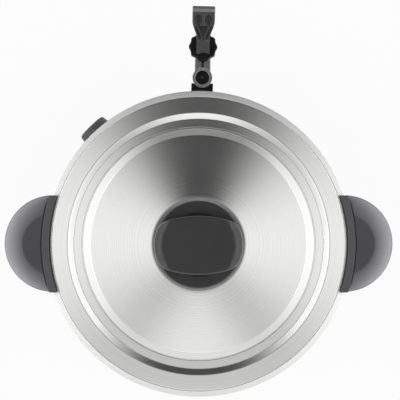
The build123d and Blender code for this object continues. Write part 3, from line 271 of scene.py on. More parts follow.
def turned(profile, origin, axis, side, segments):
    """A profile of reach and radius, turned about any axis.

    A point is the origin, plus the axis times the reach, plus a spoke times the radius.
    """
    profile = np.asarray(profile, float)[:, None]
    return origin + profile[..., :1] * axis + profile[..., 1:] * spokes(segments, axis, side)


def out_of(turn):
    """The direction away from the pot's axis, so many degrees round from the tap."""
    return np.array([sin(radians(turn)), -cos(radians(turn)), 0.0])


def across_of(turn):
    """The direction sideways, so many degrees round from the tap."""
    return np.array([cos(radians(turn)), sin(radians(turn)), 0.0])


def stand(turn, out, across, height):
    """Points so far out from the pot's axis, sideways and up: the sum of these lengths along their ways."""
    flat = np.asarray(out)[..., None] * out_of(turn) + np.asarray(across)[..., None] * across_of(turn)
    return flat + np.asarray(height)[..., None] * UP


def block(outline, turn, height, levels, insets):
    """A rounded block that stands out from the pot's axis.

    Its outline, sideways and up, is repeated at each level of reach and drawn in by that level's inset: a
    point moves towards the middle, on the outermost sides by the inset and elsewhere in proportion.
    """
    scale = 1 - np.asarray(insets, float)[:, None, None] / np.abs(outline).max(0)
    plan = outline * scale
    return stand(turn, np.asarray(levels, float)[:, None], plan[..., 0], plan[..., 1] + height)


def grid_faces(rows, columns, closed):
    """The four corner numbers of each cell of a grid that runs round, and if closed, the other way too."""
    row, column = np.meshgrid(np.arange(rows if closed else rows - 1), np.arange(columns), indexing="ij")
    here, there = row * columns, (row + 1) % rows * columns
    beside = (column + 1) % columns
    return np.stack([here + column, there + column, there + beside, here + beside], -1).reshape(-1, 4)


def tube(points):
    """A surface that runs round, with a face on its first row and one on its last."""
    return points, False, True


def shell(points):
    """A surface that runs round, whose first and last rows stay as they are: poles or open ends."""
    return points, False, False


def ring(points):
    """A closed profile carried all the way round."""
    return points, True, False


def make_piece(name, surfaces, finish, body, nodes=()):
    """One piece from grids of points in millimetres: cells become faces, doubles merge, faces turn outwards.

    It rides on a body, has its finish as its one material, and may stand in for some of the frame's nodes,
    which are hidden.
    """
    vertices, faces, first = [], [], 0
    for points, closed, capped in surfaces:
        rows, columns = points.shape[:2]
        vertices.append(points.reshape(-1, 3))
        faces += (grid_faces(rows, columns, closed) + first).tolist()
        if capped:
            loop = np.arange(columns) + first
            faces += [loop.tolist(), (loop + (rows - 1) * columns).tolist()]
        first += rows * columns
    mesh = bpy.data.meshes.new(name)
    mesh.from_pydata((np.concatenate(vertices) * MM).tolist(), [], faces)
    work = bmesh.new()
    work.from_mesh(mesh)
    bmesh.ops.remove_doubles(work, verts=work.verts, dist=2e-6)
    bmesh.ops.recalc_face_normals(work, faces=work.faces)
    work.to_mesh(mesh)
    work.free()
    mesh.polygons.foreach_set("use_smooth", np.ones(len(mesh.polygons), bool))
    mesh.materials.append(finish)
    piece = bpy.data.objects.new(name, mesh)
    bpy.context.scene.collection.objects.link(piece)
    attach(piece, body)
    if nodes:
        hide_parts(*nodes)


def dress(finish, *nodes):
    """Gives carried-over nodes of the frame a finish."""
    for node in nodes:
        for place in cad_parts[node].material_slots:
            place.material = finish


class Wire:
    """A socket of a node tree. An expression of wires and numbers adds its Math nodes."""

    def __init__(self, tree, socket):
        self.tree, self.socket = tree, socket

    def math(self, operation, *values):
        """The result of a Math node with these wires and numbers."""
        node = self.tree.nodes.new("ShaderNodeMath")
        node.operation = operation
        plug(self.tree, node, dict(enumerate(values)))
        return Wire(self.tree, node.outputs[0])

    def __add__(self, other):
        return self.math("ADD", self, other)

    def __sub__(self, other):
        return self.math("SUBTRACT", self, other)

    def __rsub__(self, other):
        return self.math("SUBTRACT", other, self)

    def __mul__(self, other):
        return self.math("MULTIPLY", self, other)

    def __truediv__(self, other):
        return self.math("DIVIDE", self, other)

    def __gt__(self, other):
        return self.math("GREATER_THAN", self, other)

    def __lt__(self, other):
        return self.math("LESS_THAN", self, other)

    __radd__, __rmul__ = __add__, __mul__


def plug(tree, node, values):
    """Sets or links a node's inputs."""
    for key, value in values.items():
        if isinstance(value, Wire):
            tree.links.new(value.socket, node.inputs[key])
        else:
            node.inputs[key].default_value = value


class Graph:
    """A node tree that nodes are added to."""

    def __init__(self, tree):
        self.tree = tree

    def node(self, kind, inputs=None, out=0, **settings):
        """Any node: its settings are set first, then the values or links of its inputs. A ramp's stops are
        pairs of a place and a colour, from place 0 to place 1."""
        node = self.tree.nodes.new(kind)
        for place, colour in settings.pop("stops", ()):
            elements = node.color_ramp.elements
            element = elements[0] if place == 0 else elements[-1] if place == 1 else elements.new(place)
            element.color = colour
        for key, value in settings.items():
            setattr(node, key, value)
        plug(self.tree, node, inputs or {})
        return Wire(self.tree, node.outputs[out])

    def mix(self, share, first, second):
        """A colour between two, by a share."""
        inputs = {0: share, 6: first, 7: second}
        return self.node("ShaderNodeMix", inputs, 2, data_type="RGBA", clamp_factor=True)

    def fade(self, value, first, last, low=0.0, high=1.0, kind="LINEAR"):
        """A value carried from one range into another, and held at its ends."""
        inputs = {"Value": value, "From Min": first, "From Max": last, "To Min": low, "To Max": high}
        return self.node("ShaderNodeMapRange", inputs, "Result", interpolation_type=kind)


class Finish(Graph):
    """One procedural material: a Principled shader and what feeds it."""

    def __init__(self, name, **constants):
        self.material = bpy.data.materials.new(name)
        self.material.use_nodes = True
        super().__init__(self.material.node_tree)
        self.shader = self.tree.nodes["Principled BSDF"]
        self.feed(**constants)

    def feed(self, **inputs):
        """Sets or links the shader's inputs, with underscores for spaces, and gives the material."""
        plug(self.tree, self.shader, {key.replace("_", " "): value for key, value in inputs.items()})
        return self.material

    def coords(self, stretch=(1.0, 1.0, 1.0)):
        """The piece's own coordinates in metres, stretched along each axis."""
        place = self.node("ShaderNodeTexCoord", out="Object")
        return self.node("ShaderNodeVectorMath", {0: place, 1: stretch}, operation="MULTIPLY")

    def reach(self):
        """Distance from the pot's axis, in metres."""
        flat = self.coords((1.0, 1.0, 0.0))
        return self.node("ShaderNodeVectorMath", {0: flat}, "Value", operation="LENGTH")

    def part(self, axis):
        """One of the piece's own coordinates, in metres."""
        return self.node("ShaderNodeSeparateXYZ", {0: self.coords()}, axis)

    def noise(self, scale, detail=2.0, roughness=0.5, stretch=(1.0, 1.0, 1.0)):
        """Smooth noise between 0 and 1, with so many waves to the metre."""
        inputs = {"Vector": self.coords(stretch), "Scale": scale, "Detail": detail, "Roughness": roughness}
        return self.node("ShaderNodeTexNoise", inputs, "Fac")

    def tooth(self, grain):
        """The finest part of a moulded grain."""
        return self.noise(2.2 / grain)

    def marks(self):
        """Faint wear and handling marks."""
        return self.noise(34.0, 4.0, 0.6, (1.0, 1.0, 1.6))

    def bump(self, height, strength, distance):
        """A surface normal that follows a height."""
        inputs = {"Height": height, "Strength": strength, "Distance": distance}
        return self.node("ShaderNodeBump", inputs, "Normal")


def shade(colour, share):
    """A colour made lighter or darker by a share, with full alpha."""
    return tuple(min(1.0, channel * share) for channel in tuple(colour)[:3]) + (1.0,)


def spun_steel(name, tint, roughness, spread, pitch, dull=0.0):
    """Steel spun on a lathe: noise of the reach alone draws rings, and a broad noise clouds them. Beyond the
    lid's edge, on the pot's rolled rim, it may be duller, and paler as a painted highlight on the bead."""
    f = Finish(name, Metallic=1.0, Anisotropic=spread)
    reach = f.reach()
    inputs = {"W": reach, "Scale": 1.0 / pitch, "Detail": 5.0, "Roughness": 0.65}
    rings = f.node("ShaderNodeTexNoise", inputs, "Fac", noise_dimensions="1D")
    hair = f.noise(40.0, 3.0, stretch=(60.0, 60.0, 60.0))
    cloud = f.noise(22.0, 3.0)
    # On the rolled rim the finish is duller, and its paler colour is a painted highlight
    rim = (reach > (LID_EDGE_R - 0.1) * MM) * dull
    share = rings * 0.8 + hair * 0.15 + cloud * 0.05 + rim
    return f.feed(
        Base_Color=f.mix(share, shade(tint, 0.77), shade(tint, 1.21)),
        Roughness=roughness - 0.05 + rings * 0.08 + cloud * 0.02 + rim,
        Normal=f.bump(rings, 0.05, 0.0002),
    )


def brushed_steel(name, tint, roughness, spread, seam_turn):
    """Steel brushed round an upright wall: noise squeezed in height draws long level lines, and a narrow
    dark line runs up the wall where its ends are welded."""
    f = Finish(name, Metallic=1.0, Anisotropic=spread)
    lines = f.noise(1.0, 4.0, 0.6, (14.0, 14.0, 2600.0))
    cloud = f.noise(14.0, 3.0)
    wall = f.mix(lines * 0.7 + cloud * 0.3, shade(tint, 0.8), shade(tint, 1.15))
    x, y = f.part("X"), f.part("Y")
    aside = x * cos(radians(seam_turn)) + y * sin(radians(seam_turn))
    near_side = (x * sin(radians(seam_turn)) - y * cos(radians(seam_turn))) > 0.0
    weld = (aside.math("ABSOLUTE", aside) < 0.9 * MM) * near_side
    return f.feed(
        Base_Color=f.mix(weld * 0.5, wall, shade(tint, 0.45)),
        Roughness=roughness - 0.06 + lines * 0.12 + cloud * 0.06,
        Normal=f.bump(lines, 0.1, 0.0002),
    )


def moulded(name, tint, roughness, grain, strength=0.25, specular=0.5):
    """Moulded plastic: cells and noise make a fine grain, and a broad noise makes faint handling marks."""
    f = Finish(name, Specular_IOR_Level=specular)
    inputs = {"Vector": f.coords(), "Scale": 1.0 / grain, "Smoothness": 0.6}
    cells = f.node("ShaderNodeTexVoronoi", inputs, "Distance", feature="SMOOTH_F1")
    tooth, marks = f.tooth(grain), f.marks()
    return f.feed(
        Base_Color=f.mix(marks * 0.35 + tooth * 0.3, shade(tint, 0.8), shade(tint, 1.4)),
        Roughness=roughness - 0.05 + marks * 0.1 + tooth * 0.05,
        Normal=f.bump(cells * 0.7 + tooth * 0.3, strength, 0.00025),
    )


def grip_painted_light(name, tint, roughness, grain, centres, crease):
    """Handle plastic: a soft dark disc on top of each grip, and a smoother flank with painted light that
    grows paler away from the pot, is weaker next to the bracket, and stops short of the outer edge to leave
    a painted dark outline. The centres are those of both grips and the crease is the disc's radius, in
    metres."""
    f = Finish(name, Specular_IOR_Level=0.3)
    tooth, marks = f.tooth(grain), f.marks()
    flat = f.coords((1.0, 1.0, 0.0))
    one, other = [
        f.node("ShaderNodeVectorMath", {0: flat, 1: tuple(centre)}, "Value", operation="DISTANCE")
        for centre in centres
    ]
    away = one.math("MINIMUM", one, other)
    flank = f.fade(away, crease - 0.3 * MM, crease + 0.2 * MM)
    outward = f.fade(away, crease, crease + 15.0 * MM)
    # Painted dark outline: the outermost 1.5 mm of the flank gets no painted light
    inside_painted_outline = f.fade(away, crease + 16.9 * MM, crease + 15.4 * MM)
    # Painted light grows with distance from the pot's axis and is weakest next to the bracket
    painted_light_by_reach = f.fade(f.reach(), 139.0 * MM, 166.0 * MM, 0.3)
    # Painted light on the flank: the plastic's colour is made up to 8.8 times paler
    pale = (flank * 0.25 + outward * 0.75) * inside_painted_outline * painted_light_by_reach
    base = f.mix(pale, shade(tint, 1.05), shade(tint, 8.8))
    return f.feed(
        Base_Color=f.mix(marks * 0.35 + tooth * 0.2, base, shade(tint, 1.5)),
        Roughness=roughness - 0.05 + marks * 0.1 - flank * 0.06,
        Normal=f.bump(tooth, 0.2, 0.00025),
    )


def ribbed(name, tint, roughness, grain):
    """Lever plastic: satin ribs, painted shade in the hollows where the height over the arm's plane is low,
    a painted highlight on the edges between the two, and a painted highlight on the lip."""
    f = Finish(name, Specular_IOR_Level=0.5)
    lean = radians(LEVER_LEAN)
    y, z = f.part("Y") + VALVE_REACH * MM, f.part("Z") - LEVER_PIN_Z * MM
    over, along = y * sin(lean) + z * cos(lean), z * sin(lean) - y * cos(lean)
    hollow = f.fade(over, 2.6 * MM, 1.8 * MM)
    # Mask of the lip's band, which gets a painted highlight
    lip = (along > 41.0 * MM) * (along < 45.0 * MM) * (over > 2.8 * MM)
    tooth, marks = f.tooth(grain), f.noise(90.0, 4.0, 0.6)
    # Painted shade: the hollows are darkened to a tenth of the plastic's colour
    base = f.mix(hollow, shade(tint, 1.1), shade(tint, 0.1))
    # Painted highlight on the slopes between rib and hollow
    base = f.mix(hollow * (1.0 - hollow) * 2.4, base, shade(tint, 3.0))
    # Painted highlight on the lip
    base = f.mix(lip, base, shade(tint, 4.6))
    return f.feed(
        Base_Color=f.mix(marks * 0.2 + tooth * 0.1, base, shade(tint, 1.2)),
        Roughness=roughness + marks * 0.12,
        Normal=f.bump(tooth, 0.12, 0.0002),
    )


def glossy(name, tint, roughness):
    """Polished plastic: a slight ripple from the mould, and fine scuffs that dull it."""
    f = Finish(name, Specular_IOR_Level=0.5, Coat_Weight=0.9, Coat_Roughness=0.04)
    ripple = f.noise(90.0)
    scuff = f.noise(260.0, 4.0, 0.7, (1.0, 6.0, 1.0))
    return f.feed(
        Base_Color=f.mix(scuff * 0.5, shade(tint, 0.85), shade(tint, 1.5)),
        Roughness=roughness + scuff * 0.12,
        Normal=f.bump(ripple, 0.04, 0.001),
    )


def plain_metal(name, tint, roughness, scale, streak=(1.0, 1.0, 1.0)):
    """Small metal pieces: noise in streaks, with a darker tarnish in its hollows."""
    f = Finish(name, Metallic=1.0)
    grain = f.noise(scale, 4.0, 0.6, streak)
    tarnish = f.noise(60.0, 3.0)
    return f.feed(
        Base_Color=f.mix(tarnish * 0.7 + grain * 0.3, shade(tint, 0.7), shade(tint, 1.15)),
        Roughness=roughness + tarnish * 0.18,
        Normal=f.bump(grain, 0.08, 0.0002),
    )


def soft_rubber(name, tint, roughness):
    """Rubber or silicone: a matt skin with a fine tooth and pale dust."""
    f = Finish(name, Specular_IOR_Level=0.3)
    skin = f.noise(1500.0, 3.0, 0.6)
    dust = f.noise(46.0, 4.0, 0.65)
    return f.feed(
        Base_Color=f.mix(dust * 0.5, shade(tint, 0.85), shade(tint, 1.6)),
        Roughness=roughness + dust * 0.12,
        Normal=f.bump(skin, 0.2, 0.0002),
    )


def clear_tube(name, tint):
    """Clear plastic: light passes through, with fine lengthwise draw lines in its skin."""
    f = Finish(name, Transmission_Weight=0.82, IOR=1.46)
    lines = f.noise(1.0, stretch=(900.0, 900.0, 6.0))
    haze = f.noise(70.0, 3.0)
    return f.feed(
        Base_Color=f.mix(haze, shade(tint, 0.95), shade(tint, 1.03)),
        Roughness=0.02 + haze * 0.06,
        Normal=f.bump(lines, 0.05, 0.0002),
    )


def lamp_lens(name, tint):
    """A tinted lamp lens: part clear, with small ribs that spread the lamp's light."""
    f = Finish(name, Transmission_Weight=0.45, IOR=1.49, Coat_Weight=0.4)
    inputs = {"Vector": f.coords(), "Scale": 260.0, "Distortion": 0.0}
    ribs = f.node("ShaderNodeTexWave", inputs, "Fac", wave_type="BANDS", bands_direction="Z")
    haze = f.noise(160.0)
    return f.feed(
        Base_Color=f.mix(haze * 0.5 + ribs * 0.3, shade(tint, 0.7), shade(tint, 1.3)),
        Roughness=0.12 + haze * 0.1,
        Normal=f.bump(ribs, 0.15, 0.0003),
    )


class BOILER_OT_stage(Operator):
    """Set the camera, the white table and the soft studio light"""

    bl_idname = "boiler.stage"
    bl_label = "Stage"

    # Places and sizes in metres
    camera_x = -0.0004
    camera_y = -0.039
    strip_x = 1.05
    strip_y = -0.1
    strip_z = 1.4
    strip_aim_z = 0.2
    strip_size = (1.4, 0.07)
    softbox_place = (0.0, 1.3, 1.6)
    softbox_aim = (0.0, 0.0, 0.3)
    softbox_size = (0.9, 0.9)
    table_half = 4.0

    # The room's brightness, by the share of half a turn from the tap's side to the opposite one
    tones = (
        (0, 0.05), (0.06, 0.02), (0.1, 0.0), (0.14, 0.03), (0.19, 0.34), (0.25, 0.74), (0.33, 0.98),
        (0.5, 1.12), (0.67, 0.94), (0.75, 0.62), (0.81, 0.5), (0.88, 0.64), (1, 0.65),
    )

    def camera(self, context):
        """A camera straight over the table, with the tap at the top, rolled by the turn of the handles."""
        s = context.scene.boiler_stage
        camera = bpy.data.cameras.new("camera")
        camera.lens, camera.sensor_width = s.lens, 36.0
        camera.clip_start, camera.clip_end = 0.05, 50.0
        seat = bpy.data.objects.new("camera", camera)
        roll_angle = radians(HANDLE_TURN)
        up = Vector((sin(roll_angle), -cos(roll_angle), 0.0))
        back = Vector((0.0, 0.0, 1.0))
        turn = Matrix((up.cross(back), up, back)).transposed().to_4x4()
        seat.matrix_world = Matrix.Translation((self.camera_x, self.camera_y, s.camera_height)) @ turn
        context.scene.collection.objects.link(seat)
        context.scene.camera = seat

    def lamp(self, context, name, place, aim, size, power):
        """A rectangular soft box that faces a point."""
        light = bpy.data.lights.new(name, "AREA")
        light.shape = "RECTANGLE"
        light.size, light.size_y = size
        light.energy = power
        lamp = bpy.data.objects.new(name, light)
        lamp.location = place
        lamp.rotation_euler = (Vector(aim) - Vector(place)).to_track_quat("-Z", "Y").to_euler()
        context.scene.collection.objects.link(lamp)

    def room(self, context):
        """A bright room for reflections: dark behind the tap, lighter low down and dim overhead. The camera
        itself sees plain white."""
        world = bpy.data.worlds.new("studio")
        world.use_nodes = True
        g = Graph(world.node_tree)
        way = g.node("ShaderNodeTexCoord", out="Generated")
        x, y, height = [g.node("ShaderNodeSeparateXYZ", {0: way}, axis) for axis in "XYZ"]
        turn = x.math("ARCTAN2", x.math("ABSOLUTE", x), 0.0 - y) / pi
        stops = [(place, (tone, tone, tone, 1.0)) for place, tone in self.tones]
        walls = g.node("ShaderNodeValToRGB", {0: turn}, "Color", stops=stops)
        low = g.fade(height, 0.57, 0.12)
        walls = g.mix(low * 0.85, walls, WHITE)
        seen = g.node("ShaderNodeLightPath", out="Is Camera Ray")
        ceiling = g.fade(height, 0.94, 1.0, 1.0, 0.15, "SMOOTHSTEP")
        cornice = g.fade(height, 0.6, 0.8, 1.2, 1.0)
        strength = seen + (1.0 - seen) * context.scene.boiler_stage.ambient * ceiling * cornice
        background = g.tree.nodes["Background"]
        plug(g.tree, background, {"Color": g.mix(seen, walls, WHITE), "Strength": strength})
        context.scene.world = world

    def table(self, context):
        """A white table that glows for the camera and in reflections, and keeps a faint shadow."""
        f = Finish("table_white", Base_Color=(0.86, 0.86, 0.86, 1.0), Roughness=0.7)
        glow = f.node("ShaderNodeEmission", {"Color": WHITE, "Strength": 1.0})
        seen = f.node("ShaderNodeLightPath", out="Is Camera Ray")
        mirrored = f.node("ShaderNodeLightPath", out="Is Glossy Ray")
        matt = Wire(f.tree, f.shader.outputs[0])
        mixed = f.node("ShaderNodeMixShader", {0: seen * 0.93 + mirrored * 0.8, 1: matt, 2: glow})
        plug(f.tree, f.tree.nodes["Material Output"], {"Surface": mixed})
        side = np.array([-self.table_half, self.table_half])
        x, y = np.meshgrid(side, side, indexing="ij")
        mesh = bpy.data.meshes.new("table")
        mesh.from_pydata(np.stack([x, y, 0 * x], -1).reshape(-1, 3).tolist(), [], [[0, 2, 3, 1]])
        mesh.materials.append(f.material)
        table = bpy.data.objects.new("table", mesh)
        context.scene.collection.objects.link(table)

    def execute(self, context):
        s = context.scene.boiler_stage
        self.camera(context)
        for name, x in (("left_strip", self.strip_x), ("right_strip", -self.strip_x)):
            place, aim = (x, self.strip_y, self.strip_z), (0.0, self.strip_y, self.strip_aim_z)
            self.lamp(context, name, place, aim, self.strip_size, s.side_power)
        place, aim = self.softbox_place, self.softbox_aim
        self.lamp(context, "front_softbox", place, aim, self.softbox_size, s.front_power)
        self.room(context)
        self.table(context)
        context.scene.view_settings.view_transform = "Standard"
        return {"FINISHED"}


class BOILER_OT_lid(Operator):
    """Spin the lid: a cone, a steeper band at its foot, a fine groove, a gutter and a sloping flange"""

    bl_idname = "boiler.lid"
    bl_label = "Lid"

    # Sizes in millimetres
    seat_r = 41.5
    seat_rounding = 16.0
    sheet = 0.8

    # Radius, height over the rim and rounding of each corner from the cone's foot to the flange
    steps = (
        (96.0, 6.73, 4.0), (102.6, 2.85, 0.9), (103.0, 0.9, 0.12), (103.75, 1.55, 0.85),
        (111.3, 0.3, 1.2), (116.3, 3.2, 1.6), (129.9, 0.8, 1.0),
    )

    def execute(self, context):
        s = context.scene.boiler_steel
        radius, height, rounding = np.array(self.steps).T
        seat = [(0, LID_SEAT_Z), (self.seat_r, LID_SEAT_Z)]
        rings = np.stack([radius, RIM_Z + height], -1)
        corners = np.concatenate([seat, rings, [(LID_EDGE_R, RIM_Z + 0.6)]])
        top = bend(corners, np.append(self.seat_rounding, rounding))
        along = np.gradient(top, axis=0)
        under = top + self.sheet * unit(np.stack([along[:, 1], -along[:, 0]], -1))
        under[0, 0] = 0.0
        under = under[under[:, 0] < LID_EDGE_R - 1.2]
        hem_r = LID_EDGE_R + HEM
        edge = np.array([(hem_r, RIM_Z + 0.5), (hem_r, RIM_Z + 0.1), (LID_EDGE_R, RIM_Z + 0.04)])
        outline = np.concatenate([top, edge, under[::-1]])
        finish = spun_steel("lid_spun_steel", s.lid_tint, s.roughness, s.spread, 0.8 * MM)
        make_piece("lid_sheet", [shell(spun(outline, 300))], finish, "lid", ["lid_shell"])
        return {"FINISHED"}


class BOILER_OT_pot(Operator):
    """Draw the inner pot with its rolled bead, and the outer shell"""

    bl_idname = "boiler.pot"
    bl_label = "Pot and shell"

    # Sizes of the rolled bead, in millimetres
    bead_half_width = 2.65
    bead_half_height = 1.6
    bead_drop = 0.5
    lid_gap = 0.1

    def bead(self):
        """The rolled bead: a short wall beside the lid's hem, a crown that slopes outward, and below it an
        arc of an oval."""
        wall_r, outer_r = LID_EDGE_R + HEM + self.lid_gap, FLANGE_R + self.bead_half_width
        middle_z = RIM_Z - self.bead_drop
        wall = [(wall_r, RIM_Z + 0.05), (wall_r, RIM_Z + 0.75)]
        start, handle = (wall_r + 0.09, RIM_Z + 0.84), (outer_r - 0.7, RIM_Z - 0.25)
        crown = curve(start, handle, (outer_r, middle_z), 25)
        keel = arc((0, 0), 1.0, -8, -161, 25) * [self.bead_half_width, self.bead_half_height]
        return np.concatenate([wall, crown, keel + [FLANGE_R, middle_z]])

    def execute(self, context):
        s = context.scene.boiler_steel
        lip_r = LID_EDGE_R + self.lid_gap
        inside = bend([(0, FLOOR_Z), (POT_R, FLOOR_Z), (POT_R, RIM_Z), (lip_r, RIM_Z)], [1.5, 4.0], 9)
        back_r, back_z, under_z = POT_R + SHEET, RIM_Z - SHEET, FLOOR_Z - SHEET
        outside = bend([(lip_r, back_z), (back_r, back_z), (back_r, under_z), (0, under_z)], [3.0, 2.5], 9)
        outline = np.concatenate([inside, self.bead(), outside])
        # 0.26 makes the pot's rim duller, and paler as a painted highlight on the bead
        finish = spun_steel("pot_spun_steel", s.shell_tint, s.roughness - 0.06, s.spread, 1.4 * MM, 0.26)
        nodes = ["inner_pot", "pot_floor"]
        make_piece("pot_sheet", [shell(spun(outline, 240))], finish, "boiler", nodes)
        inner_r = SHELL_R - SHEET
        wall = bend_closed(
            [(inner_r, LEDGE_Z), (SHELL_R, LEDGE_Z), (SHELL_R, back_z), (inner_r, back_z)], [0.3] * 4
        )
        finish = brushed_steel(
            "shell_brushed_steel", s.shell_tint, s.roughness - 0.04, s.spread * 0.8, INLET_TURN
        )
        make_piece("outer_wall", [ring(spun(wall, 240))], finish, "boiler", ["outer_shell"])
        return {"FINISHED"}


class BOILER_OT_lid_handle(Operator):
    """Mould the lid handle: a dished round base and a broad bridge over it"""

    bl_idname = "boiler.lid_handle"
    bl_label = "Lid handle"

    # Sizes in millimetres: the bridge's plan, its tunnel, and the overlap of its parts
    half_width = 25.4
    bow_r = 90.0
    corner_r = 14.0
    tunnel_half = 27.5
    tunnel_height = 15.0
    tunnel_corner = 6.0
    overlap = 0.02

    # A corner's centre lies its radius inside both the base's circle and the bowed side
    drop = bow_r - half_width
    corner_y = ((bow_r - corner_r) ** 2 - (KNOB_DISC_R - corner_r) ** 2 - drop**2) / (2 * drop)
    corner_x = ((KNOB_DISC_R - corner_r) ** 2 - corner_y**2) ** 0.5

    def plan(self):
        """The bridge seen from above: two arcs of the base's circle, two bowed sides and four corners."""
        x, y = self.corner_x, self.corner_y
        low, high = np.degrees(np.arctan2([y, y + self.drop], x))
        end = arc((0, 0), KNOB_DISC_R, 0, low, 9)
        corner = arc((x, y), self.corner_r, low, high, 17)[1:]
        side = arc((0, -self.drop), self.bow_r, high, 90, 13)[1:]
        quarter = np.concatenate([end, corner, side])
        upper = np.concatenate([quarter, quarter[-2::-1] * [-1, 1]])
        return np.concatenate([upper, upper[-2:0:-1] * [1, -1]])

    def half_length(self, y):
        """The plan's half length at a distance from its middle line, on the base's circle or a corner's."""
        y = np.abs(y)
        meet_y = self.corner_y * KNOB_DISC_R / (KNOB_DISC_R - self.corner_r)
        on_circle = np.sqrt(np.maximum(KNOB_DISC_R**2 - y**2, 0))
        on_corner = self.corner_x + np.sqrt(np.maximum(self.corner_r**2 - (y - self.corner_y) ** 2, 0))
        return np.where(y < meet_y, on_circle, on_corner)

    def deck(self):
        """The bridge's slab: the plan drawn in along its normals, an arc of edge radius up to the flat top.

        The edge radius grows from 1.4 mm along the sides to 8 mm at both ends.
        """
        plan = self.plan()
        along = np.roll(plan, -1, 0) - np.roll(plan, 1, 0)
        normal = unit(np.stack([along[:, 1], -along[:, 0]], -1))
        x = np.abs(plan[:, :1])
        edge = 1.4 + 6.6 * ease(x, 23.0, 35.0)
        lower = self.overlap + 0.8 * ramp(x, 27.0, 24.0)
        turn = np.radians(np.linspace(0, 90, 13))[:, None, None]
        inset = np.concatenate([lower * (1 - np.sin(turn)), edge * (1 - np.cos(turn))])
        below = BAR_FOOT_Z + self.tunnel_height + lower * (1 - np.cos(turn))
        height = np.concatenate([below, BAR_TOP_Z - edge * (1 - np.sin(turn))])
        loops = plan - normal * inset
        share = np.array([0.0, 0.5, 0.97])[:, None, None]
        points = np.concatenate([loops[:1] * share, loops, loops[-1:] * share[::-1]])
        height = np.concatenate([height[:1]] * 3 + [height] + [height[-1:]] * 3)
        return self.swung(np.concatenate([points, height], -1))

    def leg(self, way):
        """One leg: at each level the plan beyond the tunnel's wall, which turns into the roof in an arc."""
        turn = np.radians(np.linspace(0, 90, 9))
        roof, corner = self.tunnel_height, self.tunnel_corner
        rise = np.concatenate([[0.0, 4.5], roof - corner + corner * np.sin(turn), [roof + 0.5]])
        lean_in = np.concatenate([[0.0, 0.0], corner - corner * np.cos(turn), [corner]])
        inner = self.tunnel_half - lean_in[:, None]
        side = (np.sqrt(self.bow_r**2 - inner**2) - self.drop) * np.linspace(-1, 1, 61)
        outer = np.maximum(self.half_length(side) - self.overlap, inner)
        x = np.concatenate([outer, inner + 0 * side], 1) * way
        y = np.concatenate([side, side[:, ::-1]], 1)
        z = np.broadcast_to(BAR_FOOT_Z + rise[:, None], x.shape)
        return self.swung(np.stack([x, y, z], -1))

    def swung(self, points):
        """Points turned with the handles about the pot's axis."""
        turn = radians(HANDLE_TURN)
        x, y, z = np.moveaxis(points, -1, 0)
        return np.stack([x * cos(turn) - y * sin(turn), x * sin(turn) + y * cos(turn), z], -1)

    def execute(self, context):
        s = context.scene.boiler_plastic
        finish = moulded("lid_handle_plastic", shade(s.handle_tint, 0.4), 0.3, s.grain, 0.12, 0.8)
        plate = bend(
            [(0, LID_SEAT_Z), (KNOB_DISC_R, LID_SEAT_Z), (KNOB_DISC_R, BAR_FOOT_Z), (28.0, BAR_FOOT_Z),
             (14.0, BAR_FOOT_Z - 2.6), (0, BAR_FOOT_Z - 3.5)],
            [0.4, 1.5, 2.0, 8.0],
        )
        disc = [shell(spun(plate, 160))]
        make_piece("lid_handle_base", disc, finish, "lid", ["lid_knob_base"])
        bridge = [shell(self.deck()), tube(self.leg(1)), tube(self.leg(-1))]
        make_piece("lid_handle_bridge", bridge, finish, "lid", ["lid_handle_bar"])
        return {"FINISHED"}


